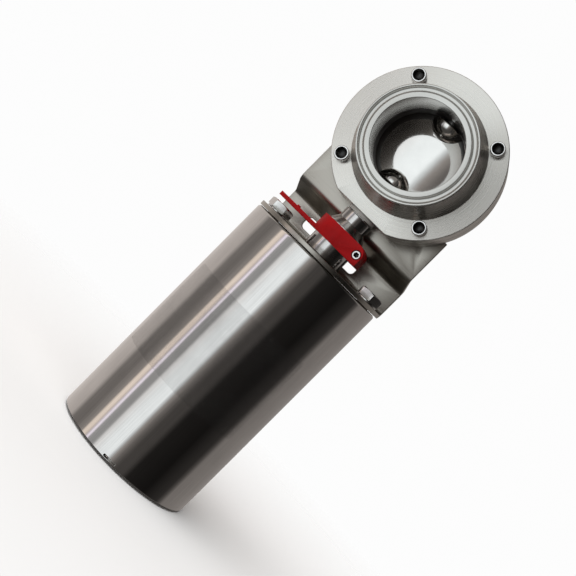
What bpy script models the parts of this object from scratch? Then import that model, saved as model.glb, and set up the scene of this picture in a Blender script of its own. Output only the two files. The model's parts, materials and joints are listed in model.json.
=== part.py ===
"""Hygienic butterfly valve with a round spring-return pneumatic actuator.

Frame: the origin is the centre of the end cap's outer face. +Z runs up the stem to the valve,
and the pipe runs along Y. All sizes below are in millimetres, and MM turns them into metres.
"""

import math

import bmesh
import bpy
from mathutils import Matrix

MM = 0.001
GAP = 0.3  # between pieces that touch on the real object
COARSE = 20  # sides of a small round piece
ROUND = 28  # sides of a large round piece
FAR = 60.0  # how far a cutter reaches past what it cuts

# Valve
BORE_Z = 273.7  # height of the pipe's centre
BORE_R = 29.75
FERRULE_R = 38.75
RIM_EDGE = 2.85  # thickness of the ferrule's rim at its edge
RIM_SLOPE = 1.6  # height of the slope behind the rim
NECK_LENGTH = 1.6  # straight part between that slope and the hub's cone
GASKET_R = 35.25  # middle of the gasket's groove
GASKET_HALF_WIDTH = 2.1
GASKET_DEPTH = 1.6
FACE_Y = 37.0  # half of the valve's length along the pipe
FLANGE_R = 56.8
FLANGE_Y = 13.0
FLAT_DROP = 52.3  # from the pipe's centre to the flat at the actuator
HUB_R = 43.0
HUB_TOP_R = 34.5
HUB_FOOT = 2.0  # straight part of the hub above the flange
SEAT_R = 37.0
SEAT_Y = 9.0
DISC_R = 28.9
STEM_R = 7.0
TRUNNION_R = 6.0
TRUNNION_END = 45.0  # from the pipe's centre
STEM_SQUARE = 9.9
SQUARE_CORNER = 0.6
SQUARE_LENGTH = 13.0
UPPER_BUSH_R = 8.0
UPPER_BUSH_TOP = 46.5  # from the pipe's centre
LOWER_BUSH_R = 9.0
LOWER_BUSH_FLANGE_R = 10.4
BUSH_START = 38.0  # where both bushes begin, from the pipe's centre
BODY_SCREW_CIRCLE_R = 49.3
BODY_SCREW_R = 3.0
BODY_SCREW_HEAD_R = 5.0
BODY_SCREW_HEAD = 6.0
BODY_SOCKET_R = 2.9
BODY_SOCKET = 3.0  # depth
BODY_NUT = 5.0
BODY_NUT_HEX_R = 5.77

# Bracket
SHEET = 3.0
BRACKET_HALF_WIDTH = 51.0
LOWER_PLATE_Y = 32.5  # middle of the sheet
UPPER_PLATE_Y = 14.8
JOGGLE_LOW_Z = 203.7
JOGGLE_HIGH_Z = 212.2
BEND_R = 4.5  # middle of the sheet
BRACKET_TOP_Z = 246.3
HUB_CLEARANCE_R = 44.5
SHAFT_HOLE_R = 18.5
WINDOW_LEFT = -31.3
WINDOW_RIGHT = 17.7
WINDOW_LOW_Z = 187.8
WINDOW_HIGH_Z = 197.2
WINDOW_CORNER = 3.0
BOLT_X = 41.5
BOLT_R = 4.8
BOLT_HEX_R = 9.24
BOLT_HEAD = 5.8
BOLT_TURNS = (6, 45)  # degrees
BOLT_END_Z = 169.7
WASHER_R = 8.2
WASHER = 1.0

# Indicator
RING_LOW_Z = 192.7
RING_HIGH_Z = 205.4
RING_R = 17.8
LUG_X = 22.5
LUG_BACK_Y = 7.0
LUG_CORNER = 6.3
POINTER_TIP_X = -50.4
POINTER_THICK = 2.9
POINTER_ROOT = 7.5  # half width at the ring
POINTER_END = 2.5  # half width at the tip
NUB_X = -34.0
NUB_R = 1.3
SPLIT_LOW_Y = -2.2
SPLIT_HIGH_Y = -0.9
CLAMP_X = 18.7
CLAMP_R = 3.0
CLAMP_SOCKET_R = 1.7
CLAMP_END_Y = 4.4

# Actuator
SHELL_R = 52.3
SHELL_BORE_R = 49.8
SHELL_BOTTOM_Z = 1.4
SHELL_TOP_Z = 179.2
RIM = 2.0  # rounding of the shell's upper end
END_RIM = 0.6  # and of its lower end
CAP_R = 49.5
CAP_TOP_Z = 20.0
CAP_FACE_R = 44.0
CAP_EDGE_Z = 1.8  # where the slope around the cap's face ends
COVER_BOTTOM_Z = 165.0
COVER_BORE_R = 17.5
COVER_STEP_Z = 168.0  # end of the wide bore that holds the guide sleeve
SEAL_R = 19.0
SEAL_LOW_Z = 175.9
SEAL_HIGH_Z = 178.9
SEAL_LIP = 1.6
BUSH_LOW_Z = 168.5
BUSH_HIGH_Z = 175.3
BUSH_R = 17.2
THRUST_R = 19.8
THRUST_HIGH_Z = 167.7
WIRE_R = 0.75
WIRE_RING_R = 49.7
WIRE_GROOVE_IN_R = 48.7  # in the cap and the cover
WIRE_GROOVE_OUT_R = 51.0  # in the shell
WIRE_GROOVE_HALF = 1.0
WIRE_SLOT_NEAR_X = 0.9
WIRE_SLOT_FAR_X = 10.9
WIRE_SLOT_HALF = 0.9
END_WIRE_Z = 3.0
BASE_WIRE_Z = 176.2
ORING_R = 1.15
ORING_RING_R = 48.5
ORING_GROOVE_R = 47.2
ORING_GROOVE_HALF = 1.3
END_ORING_Z = 17.0
BASE_ORING_Z = 167.7
NECK_R = 14.7
NECK_TOP_Z = 205.9
COLLAR_R = 10.8
COLLAR_Z = 211.0
SHAFT_TOP_Z = 218.1
SHAFT_R = 14.0
SHAFT_BORE_R = 8.0
SHAFT_BOTTOM_Z = 77.0
SHAFT_BORE_TOP_Z = 150.0
SHOULDER_R = 18.0
SHOULDER_LOW_Z = 162.8
SHOULDER_HIGH_Z = 166.3
CLIP_GROOVE_R = 13.6
CLIP_GROOVE_LOW_Z = 179.4
CLIP_GROOVE_HIGH_Z = 181.0
CLIP_R = 16.8
CLIP_GAP = 3.0  # half of it
STROKE = 40.0
PIN_Z = 87.0
PIN_R = 3.5
PIN_HALF_LENGTH = 25.0
ROLLER_R = 5.2
SLOT_R = 5.5  # half width of the guide slots
HELIX_SLOT_R = 5.75
SLEEVE_BORE_R = 20.3
SLEEVE_R = 23.5
PISTON_Z = 21.0
PISTON_THICK = 14.0
PISTON_R = 49.3
HUB_WALL_R = 19.5
WEAR_RING_R = 49.55
INLET_Z = 9.5
INLET_HOLE_R = 5.3
INLET_PORT_R = 5.1
INLET_PASSAGE_Y = 34.0
INLET_PASSAGE_R = 2.5
BREATHER_Z = 172.0
BREATHER_HOLE_R = 2.8
VENT_PORT_R = 2.6
VENT_PASSAGE_Y = 38.0
VENT_PASSAGE_R = 1.5
FILM_LOW_Z = 60.7
FILM_HIGH_Z = 127.5
FILM_HALF_WIDTH = 46.0

STEEL = ((0.62, 0.61, 0.59), 0.22, 1.0)
POLISHED = ((0.72, 0.71, 0.69), 0.12, 1.0)
BRIGHT = ((0.66, 0.65, 0.63), 0.28, 1.0)
RED = ((0.42, 0.012, 0.014), 0.35, 0.0)
SILICONE = ((0.10, 0.09, 0.085), 0.6, 0.0)
RUBBER = ((0.02, 0.02, 0.02), 0.7, 0.0)
PLASTIC = ((0.75, 0.74, 0.70), 0.45, 0.0)
BLACK_PLASTIC = ((0.03, 0.03, 0.035), 0.4, 0.0)
BRONZE = ((0.45, 0.30, 0.14), 0.5, 1.0)
ALUMINIUM = ((0.60, 0.60, 0.61), 0.35, 1.0)
SPRING_STEEL = ((0.22, 0.22, 0.23), 0.4, 1.0)
FILM = ((0.80, 0.80, 0.80), 0.1, 0.0)


def clear_scene():
    for obj in list(bpy.data.objects):
        bpy.data.objects.remove(obj)


def new_collection(name):
    collection = bpy.data.collections.new(name)
    bpy.context.scene.collection.children.link(collection)
    return collection


def material(name, look):
    """A Principled material from (colour, roughness, metallic)."""
    colour, roughness, metallic = look
    made = bpy.data.materials.new(name)
    made.use_nodes = True
    shader = made.node_tree.nodes["Principled BSDF"]
    shader.inputs["Base Color"].default_value = (*colour, 1.0)
    shader.inputs["Roughness"].default_value = roughness
    shader.inputs["Metallic"].default_value = metallic
    made.diffuse_color = (*colour, 1.0)
    return made


def add_part(name, data, look, at=(0, 0, 0), turn=(0, 0, 0)):
    obj = bpy.data.objects.new(name, data)
    obj.location = [value * MM for value in at]
    obj.rotation_euler = [math.radians(value) for value in turn]
    if not data.materials:
        data.materials.append(material(name, look))
    PARTS.objects.link(obj)
    return obj


def add_cutter(name, data, at=(0, 0, 0), turn=(0, 0, 0)):
    obj = bpy.data.objects.new(name, data)
    obj.location = [value * MM for value in at]
    obj.rotation_euler = [math.radians(value) for value in turn]
    obj.hide_render = True
    obj.display_type = "WIRE"
    CUTTERS.objects.link(obj)
    return obj


def combine(obj, other, operation):
    modifier = obj.modifiers.new(operation.lower(), "BOOLEAN")
    modifier.operation = operation
    modifier.solver = "EXACT"
    modifier.object = other


def cut(obj, *cutters):
    for other in cutters:
        combine(obj, other, "DIFFERENCE")


def join(obj, *others):
    for other in others:
        combine(obj, other, "UNION")


def smooth(obj):
    """Shades round faces smooth and keeps the edges of flat ones sharp."""
    obj.data.shade_smooth()
    obj.data.set_sharp_from_angle(angle=math.radians(35))


def outline_mesh(name, outline):
    """A wire in the XZ plane through (radius, height) points. It closes unless it ends on the axis."""
    mesh = bpy.data.meshes.new(name)
    points = [(radius * MM, 0, height * MM) for radius, height in outline]
    edges = [(i, i + 1) for i in range(len(points) - 1)]
    if outline[0][0] > 0:
        edges.append((len(points) - 1, 0))
    mesh.from_pydata(points, edges, [])
    return mesh


def spin(obj, sides):
    """Turns an object's wire about its own Z axis."""
    modifier = obj.modifiers.new("turn", "SCREW")
    modifier.steps = sides
    modifier.render_steps = sides
    modifier.use_merge_vertices = True
    modifier.merge_threshold = 0.00001
    modifier.use_smooth_shade = True


def turned(name, outline, look, sides=ROUND, at=(0, 0, 0), turn=(0, 0, 0)):
    obj = add_part(name, outline_mesh(name, outline), look, at, turn)
    spin(obj, sides)
    return obj


def turned_cutter(name, outline, sides=COARSE, at=(0, 0, 0), turn=(0, 0, 0)):
    obj = add_cutter(name, outline_mesh(name, outline), at, turn)
    spin(obj, sides)
    return obj


def rod_mesh(name, radius, low, high, sides=COARSE):
    """A solid prism on the Z axis, from height low to height high."""
    mesh = bpy.data.meshes.new(name)
    bm = bmesh.new()
    bmesh.ops.create_cone(
        bm,
        cap_ends=True,
        segments=sides,
        radius1=radius * MM,
        radius2=radius * MM,
        depth=(high - low) * MM,
        matrix=Matrix.Translation((0, 0, (low + high) / 2 * MM)),
    )
    bm.to_mesh(mesh)
    bm.free()
    return mesh


def rod_cutter(name, radius, low, high, at=(0, 0, 0), turn=(0, 0, 0), sides=COARSE):
    return add_cutter(name, rod_mesh(name, radius, low, high, sides), at, turn)


def block_mesh(name, low, high, corner=0.0, along="X"):
    """A box between two corners, with the edges that run along one axis rounded."""
    mesh = bpy.data.meshes.new(name)
    bm = bmesh.new()
    bmesh.ops.create_cube(bm, size=1.0)
    axis = "XYZ".index(along)
    for vertex in bm.verts:
        for i in range(3):
            vertex.co[i] = (low[i] if vertex.co[i] < 0 else high[i]) * MM
    if corner:
        edges = [
            edge
            for edge in bm.edges
            if abs(edge.verts[0].co[axis] - edge.verts[1].co[axis]) > 0.1 * MM
        ]
        bmesh.ops.bevel(
            bm,
            geom=edges,
            offset=corner * MM,
            segments=3,
            profile=0.5,
            affect="EDGES",
        )
    bm.to_mesh(mesh)
    bm.free()
    return mesh


def block_cutter(name, low, high, corner=0.0, along="X"):
    return add_cutter(name, block_mesh(name, low, high, corner, along))


def tube_outline(inner, outer, low, high, chamfer=0.0):
    """Section of a plain ring, down its outer side and up its inner side."""
    if not chamfer:
        return [(inner, high), (outer, high), (outer, low), (inner, low)]
    return [
        (inner, high),
        (outer - chamfer, high),
        (outer, high - chamfer),
        (outer, low + chamfer),
        (outer - chamfer, low),
        (inner, low),
    ]


def arc_points(centre, radius, start, end, steps):
    """Points of an arc in the section plane, angles in degrees from +X."""
    points = []
    for i in range(steps + 1):
        angle = math.radians(start + (end - start) * i / steps)
        points.append(
            (centre[0] + radius * math.cos(angle), centre[1] + radius * math.sin(angle))
        )
    return points


# ---------------------------------------------------------------- valve


def body_outline():
    """Section of a body half, heights measured from the plane between the halves."""
    rim_chamfer = 0.4
    flange_chamfer = 0.6
    rim_low = FACE_Y - RIM_EDGE
    neck_high = rim_low - RIM_SLOPE
    return [
        (BORE_R, FACE_Y),
        (GASKET_R - GASKET_HALF_WIDTH, FACE_Y),
        (GASKET_R - GASKET_HALF_WIDTH / 2, FACE_Y - GASKET_DEPTH),
        (GASKET_R + GASKET_HALF_WIDTH / 2, FACE_Y - GASKET_DEPTH),
        (GASKET_R + GASKET_HALF_WIDTH, FACE_Y),
        (FERRULE_R - rim_chamfer, FACE_Y),
        (FERRULE_R, FACE_Y - rim_chamfer),
        (FERRULE_R, rim_low),
        (HUB_TOP_R, neck_high),
        (HUB_TOP_R, neck_high - NECK_LENGTH),
        (HUB_R, FLANGE_Y + HUB_FOOT),
        (HUB_R, FLANGE_Y),
        (FLANGE_R - flange_chamfer, FLANGE_Y),
        (FLANGE_R, FLANGE_Y - flange_chamfer),
        (FLANGE_R, GAP / 2),
        (SEAT_R + GAP, GAP / 2),
        (SEAT_R + GAP, SEAT_Y + GAP),
        (BORE_R, SEAT_Y + GAP),
    ]


def body_screw_places():
    """(x, z) of the four body screws, on the diagonals of the flange."""
    reach = BODY_SCREW_CIRCLE_R / math.sqrt(2)
    return [
        (side * reach, BORE_Z + up * reach)
        for up in (1, -1)
        for side in (-1, 1)
    ]


def make_bodies():
    bore_top = BORE_Z + UPPER_BUSH_TOP + 0.8
    stem_bore = turned_cutter(
        "stem_bore_cutter",
        [
            (0, bore_top),
            (UPPER_BUSH_R + GAP, bore_top),
            (UPPER_BUSH_R + GAP, BORE_Z),
            (LOWER_BUSH_R + GAP, BORE_Z),
            (LOWER_BUSH_R + GAP, BORE_Z - FAR),
            (0, BORE_Z - FAR),
        ],
    )
    flat = block_cutter(
        "flat_cutter",
        (-FAR, -FAR, BORE_Z - FLAT_DROP - FAR),
        (FAR, FAR, BORE_Z - FLAT_DROP),
    )
    holes = [
        rod_cutter(
            f"body_hole_cutter_{i + 1}",
            BODY_SCREW_R + GAP,
            -FAR,
            FAR,
            at=(x, 0, z),
            turn=(90, 0, 0),
            sides=12,
        )
        for i, (x, z) in enumerate(body_screw_places())
    ]
    for name, turn in (("body_front", 90), ("body_rear", -90)):
        body = turned(name, body_outline(), STEEL, at=(0, 0, BORE_Z), turn=(turn, 0, 0))
        cut(body, flat, stem_bore, *holes)


def make_disc():
    """Domed disc with a ball-shaped boss at each end of its stem, and a square for the shaft."""
    rim_half = 1.2
    dome = 3.5
    steps = 5
    ball_r = 12.3
    ball_at = 27.5  # centre of the ball, from the pipe's centre
    boss_r = 12.0
    boss_edge = 26.2
    boss_end = 27.8
    side = []
    for i in range(steps + 1):
        radius = DISC_R * i / steps
        side.append((radius, rim_half + dome * (1 - (radius / DISC_R) ** 2)))
    lens = side + [(radius, -height) for radius, height in reversed(side)]
    disc = turned("disc", lens, POLISHED, at=(0, 0, BORE_Z), turn=(90, 0, 0), sides=24)

    ball = arc_points((0, ball_at), ball_r, -8, -90, 5)[:-1]
    outer_end = [(STEM_R + 0.5, boss_end), (boss_r, boss_edge)]
    upper_outline = [(0, TRUNNION_END), (TRUNNION_R, TRUNNION_END), (TRUNNION_R, boss_end)]
    upper_outline += outer_end + ball + [(0, ball_at - ball_r)]
    upper = turned_cutter("disc_upper_stem", upper_outline, at=(0, 0, BORE_Z))
    stem_length = BORE_Z - SHAFT_TOP_Z - 0.5
    lower_outline = [(0, -ball_at + ball_r)]
    lower_outline += [(radius, -height) for radius, height in reversed(ball)]
    lower_outline += [(radius, -height) for radius, height in reversed(outer_end)]
    lower_outline += [(STEM_R, -boss_end), (STEM_R, -stem_length), (0, -stem_length)]
    lower = turned_cutter("disc_lower_stem", lower_outline, at=(0, 0, BORE_Z))
    half = STEM_SQUARE / 2
    square = block_cutter(
        "disc_square",
        (-half, -half, SHAFT_TOP_Z - SQUARE_LENGTH),
        (half, half, SHAFT_TOP_Z + 3),
        corner=SQUARE_CORNER,
        along="Z",
    )
    join(disc, upper, lower, square)


def make_seat():
    inner = DISC_R + GAP
    land = 5.0  # half width of the part that the disc closes on
    mouth = inner + 0.5
    ring = [
        (mouth, SEAT_Y),
        (SEAT_R, SEAT_Y),
        (SEAT_R, -SEAT_Y),
        (mouth, -SEAT_Y),
        (inner, -land),
        (inner, land),
    ]
    seat = turned("seat", ring, SILICONE, at=(0, 0, BORE_Z), turn=(90, 0, 0))
    stem_holes = turned_cutter(
        "seat_hole_cutter",
        [
            (0, BORE_Z + FAR),
            (TRUNNION_R + GAP, BORE_Z + FAR),
            (TRUNNION_R + GAP, BORE_Z),
            (STEM_R + GAP, BORE_Z),
            (STEM_R + GAP, BORE_Z - FAR),
            (0, BORE_Z - FAR),
        ],
    )
    cut(seat, stem_holes)


def make_stem_bushes():
    turned(
        "stem_bush_upper",
        tube_outline(TRUNNION_R + GAP, UPPER_BUSH_R, BORE_Z + BUSH_START, BORE_Z + UPPER_BUSH_TOP),
        PLASTIC,
        sides=COARSE,
    )
    flange_high = BORE_Z - FLAT_DROP - 0.2
    flange_low = SHAFT_TOP_Z + 0.6
    turned(
        "stem_bush_lower",
        [
            (STEM_R + GAP, BORE_Z - BUSH_START),
            (LOWER_BUSH_R, BORE_Z - BUSH_START),
            (LOWER_BUSH_R, flange_high),
            (LOWER_BUSH_FLANGE_R, flange_high),
            (LOWER_BUSH_FLANGE_R, flange_low),
            (STEM_R + GAP, flange_low),
        ],
        PLASTIC,
        sides=COARSE,
    )


def make_body_fasteners():
    """Socket screws from the front, nuts at the back. The lower pair also holds the bracket."""
    head_low = FLANGE_Y + 0.1
    head_high = head_low + BODY_SCREW_HEAD
    sheet_back = UPPER_PLATE_Y + SHEET / 2
    head_chamfer = 0.5
    tip_chamfer = 0.6
    for i, (x, z) in enumerate(body_screw_places()):
        seat_y = sheet_back if z < BORE_Z else FLANGE_Y
        nut_low = seat_y + 0.1
        nut_high = nut_low + BODY_NUT
        tip = nut_high + 0.5 + tip_chamfer
        screw = turned(
            f"body_screw_{i + 1}",
            [
                (0, head_high),
                (BODY_SCREW_HEAD_R - head_chamfer, head_high),
                (BODY_SCREW_HEAD_R, head_high - head_chamfer),
                (BODY_SCREW_HEAD_R, head_low),
                (BODY_SCREW_R, head_low),
                (BODY_SCREW_R, -tip + tip_chamfer),
                (BODY_SCREW_R - tip_chamfer, -tip),
                (0, -tip),
            ],
            BRIGHT,
            sides=16,
            at=(x, 0, z),
            turn=(90, 0, 0),
        )
        socket = rod_cutter(
            f"body_socket_cutter_{i + 1}",
            BODY_SOCKET_R,
            head_high - BODY_SOCKET,
            head_high + FAR,
            at=(x, 0, z),
            turn=(90, 0, 0),
            sides=6,
        )
        cut(screw, socket)
        nut = add_part(
            f"body_nut_{i + 1}",
            rod_mesh(f"body_nut_{i + 1}", BODY_NUT_HEX_R, nut_low, nut_high, sides=6),
            BRIGHT,
            at=(x, 0, z),
            turn=(-90, 0, 0),
        )
        thread = rod_cutter(
            f"body_nut_cutter_{i + 1}",
            BODY_SCREW_R + 0.2,
            nut_low - FAR,
            nut_high + FAR,
            at=(x, 0, z),
            turn=(-90, 0, 0),
            sides=16,
        )
        cut(nut, thread)


# ---------------------------------------------------------------- bracket


def rounded_path(corners, radius, steps=3):
    """A polyline with each inner corner replaced by an arc of one radius."""
    path = [corners[0]]
    for before, corner, after in zip(corners, corners[1:], corners[2:]):
        back = (before[0] - corner[0], before[1] - corner[1])
        ahead = (after[0] - corner[0], after[1] - corner[1])
        back_length = math.hypot(*back)
        ahead_length = math.hypot(*ahead)
        back = (back[0] / back_length, back[1] / back_length)
        ahead = (ahead[0] / ahead_length, ahead[1] / ahead_length)
        half = math.acos(back[0] * ahead[0] + back[1] * ahead[1]) / 2
        middle = (back[0] + ahead[0], back[1] + ahead[1])
        length = math.hypot(*middle)
        reach = radius / math.sin(half)
        centre = (
            corner[0] + middle[0] / length * reach,
            corner[1] + middle[1] / length * reach,
        )
        setback = radius / math.tan(half)
        start = (corner[0] + back[0] * setback, corner[1] + back[1] * setback)
        end = (corner[0] + ahead[0] * setback, corner[1] + ahead[1] * setback)
        first = math.atan2(start[1] - centre[1], start[0] - centre[0])
        last = math.atan2(end[1] - centre[1], end[0] - centre[0])
        sweep = (last - first + math.pi) % (2 * math.pi) - math.pi
        for i in range(steps + 1):
            angle = first + sweep * i / steps
            path.append(
                (
                    centre[0] + radius * math.cos(angle),
                    centre[1] + radius * math.sin(angle),
                )
            )
    path.append(corners[-1])
    return path


def make_bracket():
    """Sheet with a foot on the actuator, a joggle, and an upper plate behind the valve's flange."""
    foot_z = SHELL_TOP_Z + GAP + SHEET / 2
    corners = [
        (-SHELL_R, foot_z),
        (LOWER_PLATE_Y, foot_z),
        (LOWER_PLATE_Y, JOGGLE_LOW_Z),
        (UPPER_PLATE_Y, JOGGLE_HIGH_Z),
        (UPPER_PLATE_Y, BRACKET_TOP_Z),
    ]
    path = rounded_path(corners, BEND_R)
    mesh = bpy.data.meshes.new("mounting_bracket")
    points = []
    for side in (-BRACKET_HALF_WIDTH, BRACKET_HALF_WIDTH):
        points += [(side * MM, y * MM, z * MM) for y, z in path]
    count = len(path)
    faces = [(i, i + 1, count + i + 1, count + i) for i in range(count - 1)]
    mesh.from_pydata(points, [], faces)
    bracket = add_part("mounting_bracket", mesh, STEEL)
    thicken = bracket.modifiers.new("sheet", "SOLIDIFY")
    thicken.thickness = SHEET * MM
    thicken.offset = 0
    thicken.use_even_offset = True

    outer_corner = turned_cutter(
        "foot_round_cutter",
        [
            (SHELL_R, foot_z + SHEET),
            (SHELL_R + FAR, foot_z + SHEET),
            (SHELL_R + FAR, foot_z - SHEET),
            (SHELL_R, foot_z - SHEET),
        ],
        sides=ROUND,
    )
    keep_back = block_cutter(
        "foot_round_limit",
        (-2 * FAR, 0, foot_z - 2 * SHEET),
        (2 * FAR, 2 * FAR, foot_z + 2 * SHEET),
    )
    cut(outer_corner, keep_back)
    shaft_hole = rod_cutter(
        "foot_hole_cutter", SHAFT_HOLE_R, foot_z - SHEET, foot_z + SHEET, sides=32
    )
    bolt_holes = [
        rod_cutter(
            f"foot_bolt_cutter_{i + 1}",
            BOLT_R + 0.5,
            foot_z - SHEET,
            foot_z + SHEET,
            at=(x, 0, 0),
            sides=16,
        )
        for i, x in enumerate((-BOLT_X, BOLT_X))
    ]
    window = block_cutter(
        "window_cutter",
        (WINDOW_LEFT, LOWER_PLATE_Y - SHEET, WINDOW_LOW_Z),
        (WINDOW_RIGHT, LOWER_PLATE_Y + SHEET, WINDOW_HIGH_Z),
        corner=WINDOW_CORNER,
        along="Y",
    )
    hub_clearance = rod_cutter(
        "hub_clearance_cutter",
        HUB_CLEARANCE_R,
        UPPER_PLATE_Y - SHEET,
        UPPER_PLATE_Y + SHEET,
        at=(0, 0, BORE_Z),
        turn=(-90, 0, 0),
        sides=ROUND,
    )
    screw_holes = [
        rod_cutter(
            f"plate_hole_cutter_{i + 1}",
            BODY_SCREW_R + GAP,
            UPPER_PLATE_Y - SHEET,
            UPPER_PLATE_Y + SHEET,
            at=(x, 0, z),
            turn=(-90, 0, 0),
            sides=12,
        )
        for i, (x, z) in enumerate(body_screw_places())
        if z < BORE_Z
    ]
    cut(bracket, outer_corner, shaft_hole, window, hub_clearance, *bolt_holes, *screw_holes)


def make_bracket_fasteners():
    foot_top = SHELL_TOP_Z + GAP + SHEET
    washer_low = foot_top + 0.15
    washer_high = washer_low + WASHER
    head_low = washer_high + 0.1
    for i, x in enumerate((-BOLT_X, BOLT_X)):
        turned(
            f"bracket_washer_{i + 1}",
            tube_outline(BOLT_R + GAP, WASHER_R, washer_low, washer_high),
            BRIGHT,
            sides=COARSE,
            at=(x, 0, 0),
        )
        head = add_part(
            f"bracket_bolt_{i + 1}",
            rod_mesh(
                f"bracket_bolt_{i + 1}", BOLT_HEX_R, head_low, head_low + BOLT_HEAD, sides=6
            ),
            BRIGHT,
            at=(x, 0, 0),
            turn=(0, 0, BOLT_TURNS[i]),
        )
        shank = rod_cutter(
            f"bolt_shank_{i + 1}", BOLT_R, BOLT_END_Z, head_low + 2, at=(x, 0, 0), sides=16
        )
        join(head, shank)


# ---------------------------------------------------------------- indicator


def plate_mesh(name, outline, low, high):
    """A flat outline of (x, y) made thick along Z."""
    mesh = bpy.data.meshes.new(name)
    bm = bmesh.new()
    face = bm.faces.new([bm.verts.new((x * MM, y * MM, low * MM)) for x, y in outline])
    grown = bmesh.ops.extrude_face_region(bm, geom=[face])
    for vertex in grown["geom"]:
        if isinstance(vertex, bmesh.types.BMVert):
            vertex.co.z = high * MM
    bmesh.ops.recalc_face_normals(bm, faces=bm.faces)
    bm.to_mesh(mesh)
    bm.free()
    return mesh


def make_indicator():
    """Split clamp ring with a lug for its screw and a thin pointer."""
    ring = turned(
        "position_indicator",
        tube_outline(NECK_R + GAP, RING_R, RING_LOW_Z, RING_HIGH_Z),
        RED,
        sides=24,
    )
    lug_outline = [(0, RING_LOW_Z), (LUG_X, RING_LOW_Z)]
    corner_centre = (LUG_X - LUG_CORNER, RING_HIGH_Z - LUG_CORNER)
    lug_outline += arc_points(corner_centre, LUG_CORNER, 0, 90, 4)
    lug_outline.append((0, RING_HIGH_Z))
    lug = add_cutter(
        "indicator_lug",
        plate_mesh("indicator_lug", lug_outline, -LUG_BACK_Y, RING_R - 0.1),
        turn=(90, 0, 0),
    )
    root_x = -NECK_R - 1.2
    taper_x = POINTER_TIP_X + 4.6
    pointer_outline = [
        (root_x, -POINTER_ROOT),
        (taper_x, -POINTER_END),
        (POINTER_TIP_X, 0),
        (taper_x, POINTER_END),
        (root_x, POINTER_ROOT),
    ]
    pointer_high = RING_LOW_Z + POINTER_THICK
    pointer = add_cutter(
        "indicator_pointer",
        plate_mesh("indicator_pointer", pointer_outline, RING_LOW_Z, pointer_high),
    )
    nub = rod_cutter(
        "indicator_nub", NUB_R, RING_LOW_Z + 1, pointer_high + 1, at=(NUB_X, 0, 0), sides=12
    )
    join(ring, lug, pointer, nub)
    neck = rod_cutter(
        "indicator_bore_cutter", NECK_R + GAP, RING_LOW_Z - FAR, RING_HIGH_Z + FAR, sides=24
    )
    split = block_cutter(
        "indicator_split_cutter",
        (5, SPLIT_LOW_Y, RING_LOW_Z - FAR),
        (LUG_X + FAR, SPLIT_HIGH_Y, RING_HIGH_Z + FAR),
    )
    clamp_z = (RING_LOW_Z + RING_HIGH_Z) / 2
    clamp_hole = rod_cutter(
        "indicator_screw_cutter",
        CLAMP_R + GAP,
        -CLAMP_END_Y - 0.6,
        FAR,
        at=(CLAMP_X, 0, clamp_z),
        turn=(90, 0, 0),
        sides=16,
    )
    cut(ring, neck, split, clamp_hole)

    face = RING_R - 0.4
    chamfer = 0.5
    screw = turned(
        "indicator_screw",
        [
            (0, face),
            (CLAMP_R - chamfer, face),
            (CLAMP_R, face - chamfer),
            (CLAMP_R, -CLAMP_END_Y),
            (0, -CLAMP_END_Y),
        ],
        BRIGHT,
        sides=16,
        at=(CLAMP_X, 0, clamp_z),
        turn=(90, 0, 0),
    )
    socket = rod_cutter(
        "indicator_socket_cutter",
        CLAMP_SOCKET_R,
        face - 3.1,
        face + FAR,
        at=(CLAMP_X, 0, clamp_z),
        turn=(90, 0, 0),
        sides=6,
    )
    cut(screw, socket)


# ---------------------------------------------------------------- output shaft


def slot_span(radius, height):
    """Lowest and highest angle of the helical slot at one height, in the shaft at rest.

    A roller's clearance of HELIX_SLOT_R runs from the pin's rest height up by STROKE while the slot
    turns by a quarter turn, so the slot is as wide as all the places of that round hole.
    """
    samples = 60
    low = None
    high = None
    for i in range(samples + 1):
        part = i / samples
        lift = height - (PIN_Z + STROKE * part)
        if abs(lift) > HELIX_SLOT_R:
            continue
        half = math.asin(math.sqrt(HELIX_SLOT_R**2 - lift**2) / radius)
        angle = -part * math.pi / 2
        low = angle - half if low is None else min(low, angle - half)
        high = angle + half if high is None else max(high, angle + half)
    return low, high


def helical_slot(name, start):
    """A cutter lofted through level sections of one slot, from inside the bore to outside."""
    inner = SHAFT_BORE_R - 1.5
    outer = SHAFT_R + 5.0
    levels = 16
    margin = 0.02
    bm = bmesh.new()
    rings = []
    for i in range(levels + 1):
        reach = -math.cos(math.pi * i / levels)
        height = PIN_Z + STROKE / 2 + reach * (STROKE / 2 + HELIX_SLOT_R - margin)
        ring = []
        for radius, order in ((inner, (0, 1)), (outer, (1, 0))):
            span = slot_span(radius, height)
            for side in order:
                angle = start + span[side]
                ring.append(
                    bm.verts.new(
                        (
                            radius * math.cos(angle) * MM,
                            radius * math.sin(angle) * MM,
                            height * MM,
                        )
                    )
                )
        rings.append(ring)
    for below, above in zip(rings, rings[1:]):
        for i in range(4):
            j = (i + 1) % 4
            bm.faces.new((below[i], below[j], above[j], above[i]))
    bm.faces.new(rings[0])
    bm.faces.new(rings[-1])
    bmesh.ops.recalc_face_normals(bm, faces=bm.faces)
    mesh = bpy.data.meshes.new(name)
    bm.to_mesh(mesh)
    bm.free()
    return add_cutter(name, mesh)


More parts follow.
